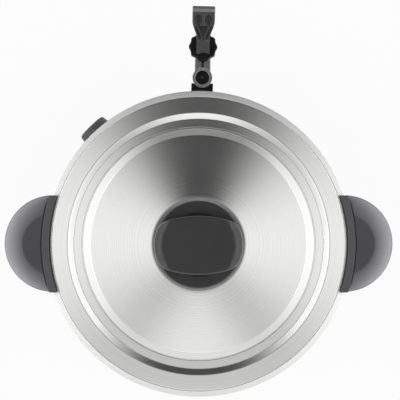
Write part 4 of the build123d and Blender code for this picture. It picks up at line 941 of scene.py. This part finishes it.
class BOILER_OT_grips(Operator):
    """Mould the two side handles: a bracket that hooks over the bead, and a domed grip beyond a seam"""

    bl_idname = "boiler.grips"
    bl_label = "Side handles"

    # The hook's reaches, heights and half width, in millimetres
    hook_in = 130.1
    hook_out = 139.5
    lip_in = 132.8
    bead_out = 136.3
    hook_foot_z = 277.0
    bead_under_z = 314.6
    lip_under_z = 318.9
    hook_top_z = 320.9
    hook_half = 43.1

    # The dome's upright axis, wall, radii about that axis and heights, in millimetres
    centre = 130.5
    wall = 3.5
    crease_r = 26.0
    dome_r = 43.3
    dish_z = 319.75
    dome_z = 320.3
    edge_z = 305.3
    foot_z = 297.3
    tongue_inset = 2.4

    def bracket(self, turn):
        """The hook's outline carried round the pot. Each point stops at the angle whose sine is the half
        width over its radius, so both ends are flat, and the end outlines are drawn in for a soft edge."""
        outline = bend_closed(
            [(self.hook_in, self.hook_foot_z), (self.hook_out, self.hook_foot_z),
             (self.hook_out, self.hook_top_z), (self.lip_in, self.hook_top_z),
             (self.lip_in, self.lip_under_z), (self.bead_out, self.lip_under_z),
             (self.bead_out, self.bead_under_z), (self.hook_in, self.bead_under_z)],
            [1.5, 1.2, 0.9, 0.7, 0.2, 0.2, 0.2, 0.3],
        )
        step = np.concatenate([[-1, -0.997], np.linspace(-0.985, 0.985, 41), [0.997, 1]])[:, None]
        ends = (np.abs(step) == 1)[..., None]
        drawn_in = outline + np.sign(outline.mean(0) - outline) * 0.25
        outline = np.where(ends, drawn_in, outline)
        radius, height = outline[..., 0], outline[..., 1]
        angle = step * np.arcsin(self.hook_half / radius)
        return stand(turn, radius * np.cos(angle), radius * np.sin(angle), height)

    def top(self):
        """The dome's top, as distance from its axis and height: a shallow dish and the crease round it."""
        seam_r = self.hook_out - self.centre
        reach = np.linspace(seam_r + 0.05, self.crease_r - 0.7, 22)
        dish = np.stack([reach, np.linspace(self.dish_z, self.dish_z + 0.5, 22)], -1)
        crease = [(-0.3, 0.45), (0.0, 0.1), (0.3, 0.35)] + np.array([self.crease_r, self.dish_z])
        return np.concatenate([dish, crease])

    def flank(self):
        """The dome's convex flank, from the crease to its straight edge."""
        return curve((self.crease_r, self.dome_z), (41.2, 319.6), (self.dome_r, self.edge_z), 30, 0.02)

    def meet(self, radius, cut):
        """The angle at which a circle about the dome's axis meets one about the pot's: law of cosines."""
        cosine = (cut**2 - self.centre**2 - radius**2) / (2 * self.centre * radius)
        return np.arccos(np.clip(cosine, -1, 1))

    def about_dome(self, turn, radius, angle, height):
        """Points at a distance and angle from the dome's axis."""
        out, side = self.centre + radius * np.cos(angle), radius * np.sin(angle)
        return stand(turn, out, side, np.broadcast_to(height, out.shape))

    def grip(self, turn, seam):
        """The dome: each circle of its profile, outside and inside, sweeps the angle up to the seam."""
        seam_r = self.hook_out - self.centre + seam
        inner_r = self.dome_r - self.wall
        outer = np.concatenate([self.top(), self.flank()])
        outer[:, 0] = np.maximum(outer[:, 0], seam_r + 0.02 + 0.002 * np.arange(len(outer)))
        foot = bend(
            [(self.dome_r, self.edge_z - 0.1), (self.dome_r, self.foot_z), (inner_r, self.foot_z),
             (inner_r, self.edge_z - 1.3)],
            [1.2, 0.8],
        )
        inner = self.flank()[::-1] - np.array([self.wall, self.wall * 0.9])
        roof = np.stack([np.linspace(22.0, seam_r + 0.4, 12), np.linspace(316.7, 316.2, 12)], -1)
        outline = np.concatenate([outer, foot, inner, roof])
        radius, height = outline[:, :1], outline[:, 1:]
        angle = self.meet(radius, self.hook_out + seam) * np.sin(np.linspace(-pi / 2, pi / 2, 81))
        points = self.about_dome(turn, radius, angle, height)
        return np.moveaxis(points, 0, 1)

    def tongue(self, turn, seam):
        """A plate behind the seam: the dome's section at the seam, drawn in on all sides."""
        outer = np.concatenate([self.top(), self.flank()]) - self.tongue_inset
        beyond = outer[outer[:, 0] > self.hook_out - self.centre + 0.45 + seam]
        outer = np.concatenate([beyond, [(self.dome_r - self.tongue_inset, self.foot_z + 2.2)]])
        radius, height = outer[:, 0], outer[:, 1]
        cut = np.array([self.hook_out - 0.3, self.hook_out + 0.4 + seam])[:, None]
        angle = self.meet(radius, cut)
        angle = np.concatenate([angle, -angle[:, ::-1]], 1)
        radius, height = np.append(radius, radius[::-1]), np.append(height, height[::-1])
        return self.about_dome(turn, radius, angle, height)

    def boss(self, turn):
        """A round post inside the dome, for one of the bracket's screws."""
        out = out_of(turn)
        return turned([(0, 4.5), (12.0, 4.5)], out * (self.hook_out + 0.1) + 305.0 * UP, out, UP, 24)

    def execute(self, context):
        s = context.scene.boiler_plastic
        seam = context.scene.boiler_shape.seam / MM
        sides = {"right": 90 + HANDLE_TURN, "left": 270 + HANDLE_TURN}
        centres = [out_of(turn) * self.centre * MM for turn in sides.values()]
        # The grips' finish paints light on the flank and a dark outline at its edge
        finish = grip_painted_light("handle_plastic", s.handle_tint, 0.42, s.grain, centres, self.crease_r * MM)
        plain = moulded("bracket_plastic", shade(s.handle_tint, 1.35), 0.42, s.grain, 0.12)
        for side, turn in sides.items():
            hook = [tube(self.bracket(turn)), tube(self.tongue(turn, seam))]
            nodes = [f"{side}_handle_bracket"]
            make_piece(f"{side}_hook", hook, plain, "boiler", nodes)
            dome = [tube(self.grip(turn, seam)), tube(self.boss(turn - 10)), tube(self.boss(turn + 10))]
            nodes = [f"{side}_handle_grip"]
            make_piece(f"{side}_grip_dome", dome, finish, "boiler", nodes)
        return {"FINISHED"}


class BOILER_OT_tap(Operator):
    """Mould the tap: barrel, gauge block, valve body and spout, scalloped cap nut and ribbed lever"""

    bl_idname = "boiler.tap"
    bl_label = "Tap"

    # The body's radii, the barrel's reaches and the other parts' heights, in millimetres
    pipe_r = 8.0
    pipe_bore = 4.5
    pipe_start = 108.8
    pipe_end = 188.0
    collar_r = 14.0
    collar_start = 132.0
    collar_end = 137.4
    block_r = 10.5
    block_foot_z = 102.0
    block_top_z = 123.0
    nipple_r = 6.3
    nipple_bore = 3.0
    nipple_top_z = 137.0
    valve_r = 12.0
    valve_foot_z = 101.0
    neck_r = 10.5
    neck_bore = 9.0
    neck_top_z = 135.0
    spout_r = 6.5
    spout_bore = 5.0
    spout_z = 79.0

    # The cap nut's body, lobes and heights, in millimetres
    nut_r = 13.3
    nut_bore = 10.6
    stem_hole = 2.6
    lobes = 10
    lobe_r = 3.2
    lobe_reach = 11.0
    nut_foot_z = 126.0
    nut_top_z = 142.0

    # The lever's arm, along it from the pin and over its plane, in millimetres
    neck_half = 6.4
    blade_half = 11.0
    arm_end = 45.6
    arm_top = 2.9
    arm_under = -3.0
    rib_half = 0.6
    trough_end = 24.5
    trough_depth = 1.5
    pocket_side = 4.9
    pocket_along = 30.8
    pocket_depth = 2.5
    lip_start = 41.8
    lip_height = 0.5

    # The heel's cheeks, in millimetres and degrees
    throw = 30.0
    stem_lift = 3.0
    cam_under = 6.7

    def body(self):
        """The tap's body as turned and spun surfaces that run into each other."""
        level, away = TAP_Z * UP, out_of(0.0)
        pipe = bend(
            [(self.pipe_start, self.pipe_bore), (self.pipe_start, self.pipe_r), (self.pipe_end, self.pipe_r),
             (self.pipe_end, self.pipe_bore)],
            [0.8, 0.5],
        )
        collar = bend(
            [(self.collar_start, self.pipe_r), (self.collar_start, self.collar_r),
             (self.collar_end - 1.4, self.collar_r), (self.collar_end, self.pipe_r + 0.6),
             (self.collar_end, self.pipe_r)],
            [0.8, 1.2, 1.0],
        )
        bore_end_z = self.block_top_z - 5.0
        gauge_block = bend(
            [(0, self.block_foot_z), (self.block_r, self.block_foot_z), (self.block_r, self.block_top_z),
             (self.nipple_r, self.block_top_z), (self.nipple_r, self.nipple_top_z),
             (self.nipple_bore, self.nipple_top_z), (self.nipple_bore, bore_end_z), (0, bore_end_z)],
            [2.0, 1.0, 0.2, 0.5, 0.3, 0.3],
        )
        spout_end_z, chamber_z = self.valve_foot_z + 7.0, self.valve_foot_z + 11.0
        valve = bend(
            [(0, spout_end_z), (self.spout_bore, spout_end_z), (self.spout_bore, self.spout_z),
             (self.spout_r, self.spout_z), (self.spout_r + 1.0, self.valve_foot_z - 1.5),
             (self.valve_r, self.valve_foot_z), (self.valve_r, self.nut_foot_z - 0.1),
             (self.neck_r, self.nut_foot_z), (self.neck_r, self.neck_top_z),
             (self.neck_bore, self.neck_top_z), (self.neck_bore, chamber_z), (0, chamber_z)],
            [0.4, 0.5, 0.6, 1.5, 1.6, 0.6, 0.3, 0.5, 0.4, 0.5],
        )
        return [
            shell(turned(pipe, level, away, RIGHT, 72)), tube(turned(collar, level, away, RIGHT, 72)),
            shell(spun(gauge_block, 72, (0, -GAUGE_REACH))), shell(spun(valve, 96, (0, -VALVE_REACH))),
        ]

    def bonnet(self):
        """The cap nut: a circle softly joined with ten round lobes.

        Seen from the axis, a lobe's edge lies its centre's distance times the cosine of the angle, plus the
        root of its radius squared less the sine part squared. The logarithm of the sum of two powers takes
        the larger of circle and lobe, with a soft joint.
        """
        outer = bend(
            [(self.nut_bore, self.nut_foot_z), (self.nut_r, self.nut_foot_z), (self.nut_r, self.nut_top_z),
             (self.stem_hole, self.nut_top_z), (self.stem_hole, self.nut_top_z - 3.0),
             (self.neck_bore, self.nut_top_z - 3.0), (self.nut_bore, self.nut_top_z - 6.8)],
            [0.5, 1.3, 0.3, 0.3, 0.3],
        )
        points = spun(outer, 240)
        half_step, sharpness = pi / self.lobes, 6
        near = (circle(240) + half_step) % (2 * half_step) - half_step
        lobe_side = np.maximum(self.lobe_r**2 - (self.lobe_reach * np.sin(near)) ** 2, 0)
        lobe = self.lobe_reach * np.cos(near) + np.sqrt(lobe_side)
        edge = np.log(np.exp(lobe * sharpness) + np.exp((self.nut_r - 0.15) * sharpness)) / sharpness
        weight = ramp(outer[:, :1], 10.8, 12.0)
        points[..., :2] *= (1 + weight * (edge / self.nut_r - 1))[..., None]
        return ring(points + VALVE_REACH * out_of(0.0))

    def on_lever(self, along, over):
        """How far back from the pin and how high over it points lie that are given along the leaning arm and
        over its plane."""
        lean = radians(LEVER_LEAN)
        return over * sin(lean) - along * cos(lean), along * sin(lean) + over * cos(lean)

    def arm(self):
        """The lever's arm: for each place along it a closed loop, ribbed on top and smooth below.

        The half width grows softly from the neck to the blade. Up to the trough's end the top is cut back
        wherever it is further than a rib's half thickness from the frame and from the two ribs that spread
        like a Y. Beyond that two oval pockets are dished: their depth is the root of one less the squares of
        both distances over the oval's half axes. The long edges and the end are rolled as quarter circles.
        """
        last = self.arm_end - np.array([0.5, 0.25, 0.1, 0.02, 0.0])
        along = np.concatenate([np.linspace(-1.0, self.arm_end - 0.8, 176), last])[:, None]
        half = self.neck_half + (self.blade_half - self.neck_half) * ease(along, 9.0, 30.0)
        x = np.linspace(-1, 1, 101) * half
        side = np.abs(x)
        rib_gap = np.abs(side - 1.5 - 4.4 * ramp(along, 12.5, 23.0)) * 0.92 - self.rib_half
        rib_gap = np.where(along < 24.0, rib_gap, 9.0)
        frame_gap = np.minimum(half - 1.4 - side, np.minimum(40.2 - along, along - 3.2))
        gap = np.minimum(np.minimum(frame_gap, rib_gap), self.trough_end - along)
        trough = ramp(gap, -0.25, 0.25)
        oval = 1 - ((side - self.pocket_side) / 3.7) ** 2 - ((along - self.pocket_along) / 7.0) ** 2
        pocket = np.sqrt(np.clip(oval, 0, 1)) * ramp(side, 0.9, 1.4)
        lip = self.lip_height * ramp(along, self.lip_start, self.lip_start + 0.8)
        top = self.arm_top - self.trough_depth * trough - self.pocket_depth * pocket + lip
        tuck = 0.6 * roll(ramp(along, self.arm_end - 0.8, self.arm_end))
        top = top - 0.7 * roll(ramp(side, half - 0.7, half)) - tuck
        under = self.arm_under + 2.3 * ease(along, 14.0, 40.0)
        under = under + 0.9 * roll(ramp(side, half - 0.9, half)) + tuck
        x = x * (1 - tuck / half)
        x = np.concatenate([x, x[:, ::-1]], axis=1)
        y, z = self.on_lever(along, np.concatenate([top, under[:, ::-1]], axis=1))
        return tube(np.stack([x, y - VALVE_REACH, z + LEVER_PIN_Z], -1))

    def heel(self):
        """The forked heel: two cheeks whose lower edge is an involute cam, and a bridge over the stem's eye.

        A cam point lies the lift below the pin and the cam's radius beside it, turned back by the throw. The
        lift grows by that radius times the throw.
        """
        throw = np.radians(np.linspace(0, self.throw, 9))
        cam_r = self.stem_lift / radians(self.throw)
        lift = self.cam_under + cam_r * throw
        cam_y = -lift * np.sin(throw) - cam_r * np.cos(throw)
        cam = np.stack([cam_y, cam_r * np.sin(throw) - lift * np.cos(throw)], -1)
        root = np.stack(self.on_lever(np.array([14.0, 14.0, 2.0]), np.array([-2.9, 1.0, 2.6])), -1)
        back = np.array([(1.5, 5.0), (5.8, 5.6), (7.6, 4.0), (7.6, -4.7), (5.8, -6.6)])
        cheek = np.concatenate([cam, root, back])
        bridge = bend_closed(
            [(-8.0, 4.4), (7.4, 4.4), (7.4, 5.0), (5.6, 5.9), (-4.0, 6.0), (-8.0, 8.0)], [0.2] * 6
        )
        soft_ends = np.array([0.3, 0, 0, 0.3])[:, None, None] / 8
        surfaces = []
        for outline, levels in (
            (cheek, (2.8, 3.1, 6.1, 6.45)),
            (cheek, (-2.8, -3.1, -6.1, -6.45)),
            (bridge, (-6.4, -6.1, 6.1, 6.4)),
        ):
            plan = outline + (outline.mean(0) - outline) * soft_ends
            y, z = plan[..., 0] - VALVE_REACH, plan[..., 1] + LEVER_PIN_Z
            x = np.broadcast_to(np.array(levels)[:, None], y.shape)
            surfaces.append(tube(np.stack([x, y, z], -1)))
        return surfaces

    def execute(self, context):
        s = context.scene.boiler_plastic
        gloss = glossy("tap_gloss_plastic", s.tap_tint, 0.16)
        make_piece("tap_barrel", self.body(), gloss, "boiler", ["tap_body"])
        black = moulded("bonnet_plastic", s.bonnet_tint, 0.42, s.grain * 0.7, 0.12, 0.25)
        make_piece("tap_cap_nut", [self.bonnet()], black, "boiler", ["tap_bonnet"])
        # The lever's finish paints shade in its hollows and highlights on its rib edges and lip
        satin = ribbed("lever_plastic", s.handle_tint, 0.28, s.grain * 0.6)
        lever = [self.arm()] + self.heel()
        make_piece("tap_lever_arm", lever, satin, "lever", ["tap_lever"])
        dress(gloss, "tap_nut")
        silicone = soft_rubber("silicone_grey", (0.55, 0.54, 0.52), 0.5)
        dress(silicone, "tap_seals", "seat_cup", "gauge_seal", "lid_washer")
        polished = plain_metal("stem_polished_steel", (0.74, 0.74, 0.73), 0.2, 700.0, (1, 1, 0.1))
        dress(polished, "tap_stem", "lever_pin", "tap_spring")
        return {"FINISHED"}


class BOILER_OT_gauge(Operator):
    """Draw the clear level tube and its vented plug"""

    bl_idname = "boiler.gauge"
    bl_label = "Level gauge"

    # Radii and heights in millimetres
    bore_r = 6.4
    tube_r = 9.0
    vent_r = 1.1
    foot_z = 123.0
    top_z = 292.0

    def execute(self, context):
        s = context.scene.boiler_plastic
        centre = (0, -GAUGE_REACH)
        wall = bend_closed(
            [(self.bore_r, self.foot_z), (self.tube_r, self.foot_z), (self.tube_r, self.top_z),
             (self.bore_r, self.top_z)],
            [0.3, 0.3, 0.5, 0.5],
        )
        clear = clear_tube("gauge_clear", (0.95, 0.96, 0.96))
        pipe = [ring(spun(wall, 96, centre))]
        make_piece("level_tube", pipe, clear, "boiler", ["gauge_tube"])
        plug_r, plug_foot_z = self.bore_r - 0.1, self.top_z - 8.6
        plug_outline = bend_closed(
            [(self.vent_r, plug_foot_z), (plug_r, plug_foot_z), (plug_r, self.top_z - 0.6),
             (4.6, self.top_z - 0.1), (1.5, self.top_z - 0.4), (self.vent_r, self.top_z - 1.0)],
            [0.3, 0.5, 0.6, 0.8, 0.2, 0.2],
        )
        black = moulded("plug_plastic", s.bonnet_tint, 0.45, s.grain * 0.7, 0.12, 0.15)
        vented = [ring(spun(plug_outline, 72, centre))]
        make_piece("vent_plug", vented, black, "boiler", ["gauge_plug"])
        dress(black, "gauge_bracket")
        return {"FINISHED"}


class BOILER_OT_base(Operator):
    """Mould the base housing and its foot ring, and dress the plate and what is inside and behind it"""

    bl_idname = "boiler.base"
    bl_label = "Base"

    # Sizes of the housing, its boss and pad, and the foot ring, in millimetres
    housing_in = 130.5
    ledge_in = 121.5
    ledge = 3.0
    block_in = 123.0
    boss_edge = 2.2
    pad_edge = 1.2
    foot_in = 101.2
    foot_out = 115.2
    foot_top_z = 8.0

    def housing(self):
        """The housing's wall with a fine line round its foot, and a ledge inside that carries the shell."""
        line_r, line_z, under_z = BASE_R - 0.5, 11.0, LEDGE_Z - self.ledge
        return bend_closed(
            [(self.housing_in, BASE_Z), (BASE_R, BASE_Z), (BASE_R, line_z), (line_r, line_z + 0.4),
             (line_r, line_z + 1.2), (BASE_R, line_z + 1.6), (BASE_R, BASE_TOP_Z),
             (self.housing_in, BASE_TOP_Z), (self.housing_in, LEDGE_Z), (self.ledge_in, LEDGE_Z),
             (self.ledge_in, under_z), (self.housing_in, under_z)],
            [0.3, 1.6, 0.2, 0.2, 0.2, 0.2, 2.0, 0.3, 0.3, 0.3, 0.3, 0.3],
        )

    def blocks(self):
        """The boss that carries the control, and the pad round the inlet, which is hollow in its middle. The
        edges bulge: a level rises by the sine of an angle, while the inset grows by one less its cosine."""
        angle = np.radians([0, 30, 60, 90])
        rise, inset = np.sin(angle), self.boss_edge * (1 - np.cos(angle))
        start = [self.block_in, self.block_in + 7.0]
        boss_levels = np.append(start, BOSS_REACH - self.boss_edge + self.boss_edge * rise)
        boss_insets = np.append([0, 0], inset)
        boss = block(rounded_rectangle(79.0, 50.0, 6.0), CONTROL_TURN, CONTROL_Z, boss_levels, boss_insets)
        pad_levels = np.append(start, PAD_REACH - self.pad_edge + self.pad_edge * rise)
        pad_levels = np.append(pad_levels, [PAD_REACH, self.block_in + 1.0])
        pad_insets = np.concatenate([[0, 0], inset * 0.55, [9.0, 9.0]])
        pad = block(rounded_rectangle(56.0, 40.0, 6.0), INLET_TURN, INLET_Z, pad_levels, pad_insets)
        return [tube(boss), tube(pad)]

    def foot(self):
        """The foot ring: two treads with a groove between them, and a rib on top."""
        groove_r, groove_z, rib_in, rib_out = 106.7, 1.2, 105.7, 110.7
        top_z, rib_z = self.foot_top_z, self.foot_top_z + 1.5
        return bend_closed(
            [(self.foot_in, 0), (groove_r - 1.7, 0), (groove_r - 0.7, groove_z), (groove_r + 0.7, groove_z),
             (groove_r + 1.7, 0), (self.foot_out, 0), (self.foot_out, top_z), (rib_out, top_z),
             (rib_out, rib_z), (rib_in, rib_z), (rib_in, top_z), (self.foot_in, top_z)],
            [1.0, 0.2, 0.2, 0.2, 0.2, 1.0, 0.8, 0.2, 0.4, 0.4, 0.2, 0.8],
        )

    def execute(self, context):
        s = context.scene.boiler_plastic
        finish = moulded("base_plastic", s.base_tint, 0.48, s.grain)
        base = [ring(spun(self.housing(), 240))] + self.blocks()
        make_piece("base_wall", base, finish, "boiler", ["base_housing"])
        rubber = soft_rubber("foot_rubber", (0.03, 0.03, 0.03), 0.75)
        foot = [ring(spun(self.foot(), 200))]
        make_piece("rubber_foot", foot, rubber, "boiler", ["foot_ring"])
        dress(moulded("plate_powder_coat", (0.07, 0.07, 0.075), 0.6, 0.0007, 0.4), "base_plate")
        dress(plain_metal("spreader_aluminium", (0.76, 0.76, 0.77), 0.35, 300.0), "heat_spreader")
        dress(plain_metal("element_tinted_steel", (0.42, 0.38, 0.35), 0.4, 240.0), "heating_element")
        pale = moulded("control_plastic", (0.72, 0.7, 0.64), 0.5, 0.0008, 0.12)
        dress(pale, "thermostat_body", "thermal_cutout")
        dress(plain_metal("shaft_brass", (0.78, 0.62, 0.32), 0.28, 500.0), "thermostat_shaft")
        dress(plain_metal("sensor_copper", (0.72, 0.43, 0.27), 0.3, 500.0), "thermostat_sensor")
        dress(moulded("inlet_plastic", (0.02, 0.02, 0.021), 0.45, 0.0007, 0.15), "inlet_socket")
        dress(plain_metal("pin_nickel", (0.8, 0.77, 0.68), 0.22, 600.0), "inlet_pins")
        return {"FINISHED"}


class BOILER_OT_controls(Operator):
    """Mould the thermostat's fluted knob, its dial and the two lamps"""

    bl_idname = "boiler.controls"
    bl_label = "Controls"

    # Reaches from the pot's axis and radii about the knob's or a lamp's, in millimetres
    knob_foot = 143.6
    knob_end = 162.4
    skirt_r = 19.0
    knob_r = 15.5
    tick_in = 20.6
    tick_out = 23.2
    tick_half = 0.35
    lamp_across = 29.0
    lamp_over = 12.0
    lamp_r = 4.0
    lamp_end = 144.0

    def knob(self, shape):
        """The knob: a skirt and a tapered drum with a dished end. Its flutes are cut in along the spokes, by
        the square of half of one less the cosine of the angle times their number."""
        foot, end = self.knob_foot, self.knob_end
        profile = bend(
            [(foot, 0), (foot, self.skirt_r), (foot + 1.6, self.skirt_r), (foot + 2.4, self.skirt_r - 0.7),
             (end, self.knob_r), (end, 11.0), (end - 0.6, 10.4), (end - 0.6, 0)],
            [0.5, 0.6, 0.5, 2.4, 0.6, 0.4],
        )
        out = out_of(CONTROL_TURN)
        points = turned(profile, CONTROL_Z * UP, out, UP, 240)
        deep = ramp(profile[:, :1], foot + 2.8, foot + 4.3) * ramp(profile[:, 1:], 12.5, 14.0)
        cut = shape.flute_depth / MM * (0.5 - 0.5 * np.cos(circle(240) * shape.flutes)) ** 2
        return points - (deep * cut)[..., None] * spokes(240, out, UP)

    def ticks(self, count):
        """The dial's marks: one small bar turned by even steps through 270 degrees."""
        turn = np.radians(np.linspace(0, 270, count))[:, None]
        half, near, far = self.tick_half, self.tick_in, self.tick_out
        x, y = np.array([(-half, near), (half, near), (half, far), (-half, far)]).T
        across, up = x * np.cos(turn) + y * np.sin(turn), y * np.cos(turn) - x * np.sin(turn)
        reach = np.array([BOSS_REACH - 0.3, BOSS_REACH + 0.15])[:, None, None]
        bars = stand(CONTROL_TURN, reach, across, up + CONTROL_Z)
        return [tube(bar) for bar in np.moveaxis(bars, 1, 0)]

    def lamps(self, plastic):
        """The two lamps: a stalk with a flattened dome for the lens, and a bezel of the knob's plastic."""
        out, end, r = out_of(CONTROL_TURN), self.lamp_end, self.lamp_r
        stalk = [(BOSS_REACH - 12.0, 0), (BOSS_REACH - 12.0, r), (end, r)]
        dome = np.concatenate([stalk, arc((0, 0), r, 85, 0, 10) * [0.5, 1] + [end, 0]])
        bezel_r, bezel_end = r + 1.5, end + 0.2
        bezel = bend(
            [(BOSS_REACH, r), (BOSS_REACH, bezel_r), (bezel_end, bezel_r), (bezel_end, r)], [0.1, 0.7]
        )
        for name, slot, place, tint in (
            ("ready_lamp", "ready_lens", -self.lamp_across, (0.1, 0.55, 0.15)),
            ("heating_lamp", "heating_lens", self.lamp_across, (0.85, 0.25, 0.04)),
        ):
            centre = stand(CONTROL_TURN, 0.0, place, CONTROL_Z + self.lamp_over)
            glass = [shell(turned(dome, centre, out, UP, 48))]
            make_piece(f"{name}_lens", glass, lamp_lens(f"{name}_tint", tint), "boiler", [name])
            collar = [tube(turned(bezel, centre, out, UP, 48))]
            make_piece(f"{name}_bezel", collar, plastic, "boiler")

    def execute(self, context):
        s, shape = context.scene.boiler_plastic, context.scene.boiler_shape
        finish = moulded("knob_plastic", shade(s.handle_tint, 1.5), 0.38, s.grain * 0.7, 0.15)
        knob = [shell(self.knob(shape))]
        make_piece("heat_knob", knob, finish, "knob", ["thermostat_knob"])
        white = moulded("dial_white", (0.75, 0.75, 0.74), 0.5, 0.0006, 0.1)
        end = self.knob_end
        levels, insets = [end - 0.9, end - 0.4, end - 0.3], [0, 0, 0.15]
        pointer = block(rounded_rectangle(1.6, 9.0, 0.7), CONTROL_TURN, CONTROL_Z + 6.0, levels, insets)
        make_piece("knob_pointer", [tube(pointer)], white, "knob")
        make_piece("dial_ticks", self.ticks(shape.dial_ticks), white, "boiler")
        self.lamps(finish)
        return {"FINISHED"}


class BOILER_OT_screws(Operator):
    """Turn the pan-headed screws with their cross recess"""

    bl_idname = "boiler.screws"
    bl_label = "Screws"

    # Sizes in millimetres
    head_r = 3.4
    head_height = 2.1
    rod_r = 2.0
    slot_half = 0.45
    slot_reach = 1.9
    slot_depth = 1.0

    # Places of the base's ring of screws, the inlet's pair and the lid's pair, in millimetres
    base_reach = 126.0
    base_z = 8.0
    inlet_half = 20.0
    lid_half = 33.0

    def head(self, centre, axis, side):
        """A domed head: its height falls with the square of the radius, and dips where the surface is close
        to either arm of a cross."""
        r = self.head_r
        radius = np.concatenate([np.linspace(0, r - 0.3, 20), [r - 0.1, r, r]])[:, None]
        angle = circle(48)
        across, along = radius * np.cos(angle), radius * np.sin(angle)
        level_arm = np.maximum(np.abs(across) - self.slot_half, np.abs(along) - self.slot_reach)
        upright_arm = np.maximum(np.abs(along) - self.slot_half, np.abs(across) - self.slot_reach)
        dip = self.slot_depth * ramp(np.minimum(level_arm, upright_arm), 0.175, -0.175)
        height = self.head_height - 0.07 * radius**2 - dip
        height[-2:] = np.array([[1.0], [0.0]])
        third = np.cross(axis, side)
        top = across[..., None] * side + along[..., None] * third + height[..., None] * axis
        return shell(np.concatenate([top, 0 * top[:1]]) + centre)

    def screws(self, places, axis, side, length):
        """Screws whose heads face along an axis, with a rod of some length behind each."""
        rod = [(0.0, self.rod_r), (length - 1.0, self.rod_r), (length, 1.2)]
        heads = [self.head(place, axis, side) for place in places]
        return heads + [tube(turned(rod, place, -axis, side, 24)) for place in places]

    def execute(self, context):
        finish = plain_metal("screw_zinc", (0.7, 0.7, 0.69), 0.28, 500.0)
        angle = np.radians(15.0 + 90.0 * np.arange(4))
        reach = self.base_reach
        places = np.stack([reach * np.cos(angle), reach * np.sin(angle), np.full(4, self.base_z)], -1)
        base = self.screws(places, -UP, RIGHT, 12.0)
        make_piece("base_pan_screws", base, finish, "boiler", ["base_screws"])
        places = [np.array([x, PAD_REACH + 2.5, INLET_Z]) for x in (-self.inlet_half, self.inlet_half)]
        inlet = self.screws(places, np.array([0.0, 1.0, 0.0]), UP, 11.0)
        make_piece("inlet_pan_screws", inlet, finish, "boiler", ["inlet_screws"])
        way, under_lid = across_of(HANDLE_TURN), (LID_SEAT_Z - 2.3) * UP
        places = [x * way + under_lid for x in (-self.lid_half, self.lid_half)]
        lid = self.screws(places, -UP, RIGHT, 17.0)
        make_piece("lid_pan_screws", lid, finish, "lid", ["lid_screws"])
        dress(finish, "thermostat_screws", "handle_screws", "bracket_screws", "tie_stud", "tie_nut")
        return {"FINISHED"}


class BOILER_PT_panel(Panel):
    """The boiler's pieces and their settings, in the sidebar of the 3D view"""

    bl_label = "Boiler"
    bl_idname = "BOILER_PT_panel"
    bl_space_type = "VIEW_3D"
    bl_region_type = "UI"
    bl_category = "Boiler"

    def draw(self, context):
        for operator in OPERATORS:
            self.layout.operator(operator.bl_idname)
        for name, group in SETTINGS.items():
            box = self.layout.box()
            for key in group.__annotations__:
                box.prop(getattr(context.scene, name), key)


SETTINGS = {
    "boiler_steel": SteelSettings,
    "boiler_plastic": PlasticSettings,
    "boiler_shape": ShapeSettings,
    "boiler_stage": StageSettings,
}
OPERATORS = (
    BOILER_OT_stage,
    BOILER_OT_lid,
    BOILER_OT_pot,
    BOILER_OT_lid_handle,
    BOILER_OT_grips,
    BOILER_OT_tap,
    BOILER_OT_gauge,
    BOILER_OT_base,
    BOILER_OT_controls,
    BOILER_OT_screws,
)


def register():
    """Makes the settings, the operators and the panel known to Blender."""
    for group in SETTINGS.values():
        bpy.utils.register_class(group)
    for operator in OPERATORS:
        bpy.utils.register_class(operator)
    bpy.utils.register_class(BOILER_PT_panel)
    for name, group in SETTINGS.items():
        setattr(bpy.types.Scene, name, PointerProperty(type=group))


def unregister():
    """Takes them away again, in the reverse order."""
    for name in SETTINGS:
        delattr(bpy.types.Scene, name)
    bpy.utils.unregister_class(BOILER_PT_panel)
    for operator in reversed(OPERATORS):
        bpy.utils.unregister_class(operator)
    for group in reversed(list(SETTINGS.values())):
        bpy.utils.unregister_class(group)


def main():
    """Dresses the whole boiler."""
    register()
    bpy.ops.boiler.stage()
    bpy.ops.boiler.lid()
    bpy.ops.boiler.pot()
    bpy.ops.boiler.lid_handle()
    bpy.ops.boiler.grips()
    bpy.ops.boiler.tap()
    bpy.ops.boiler.gauge()
    bpy.ops.boiler.base()
    bpy.ops.boiler.controls()
    bpy.ops.boiler.screws()


if __name__ == "__main__":
    main()
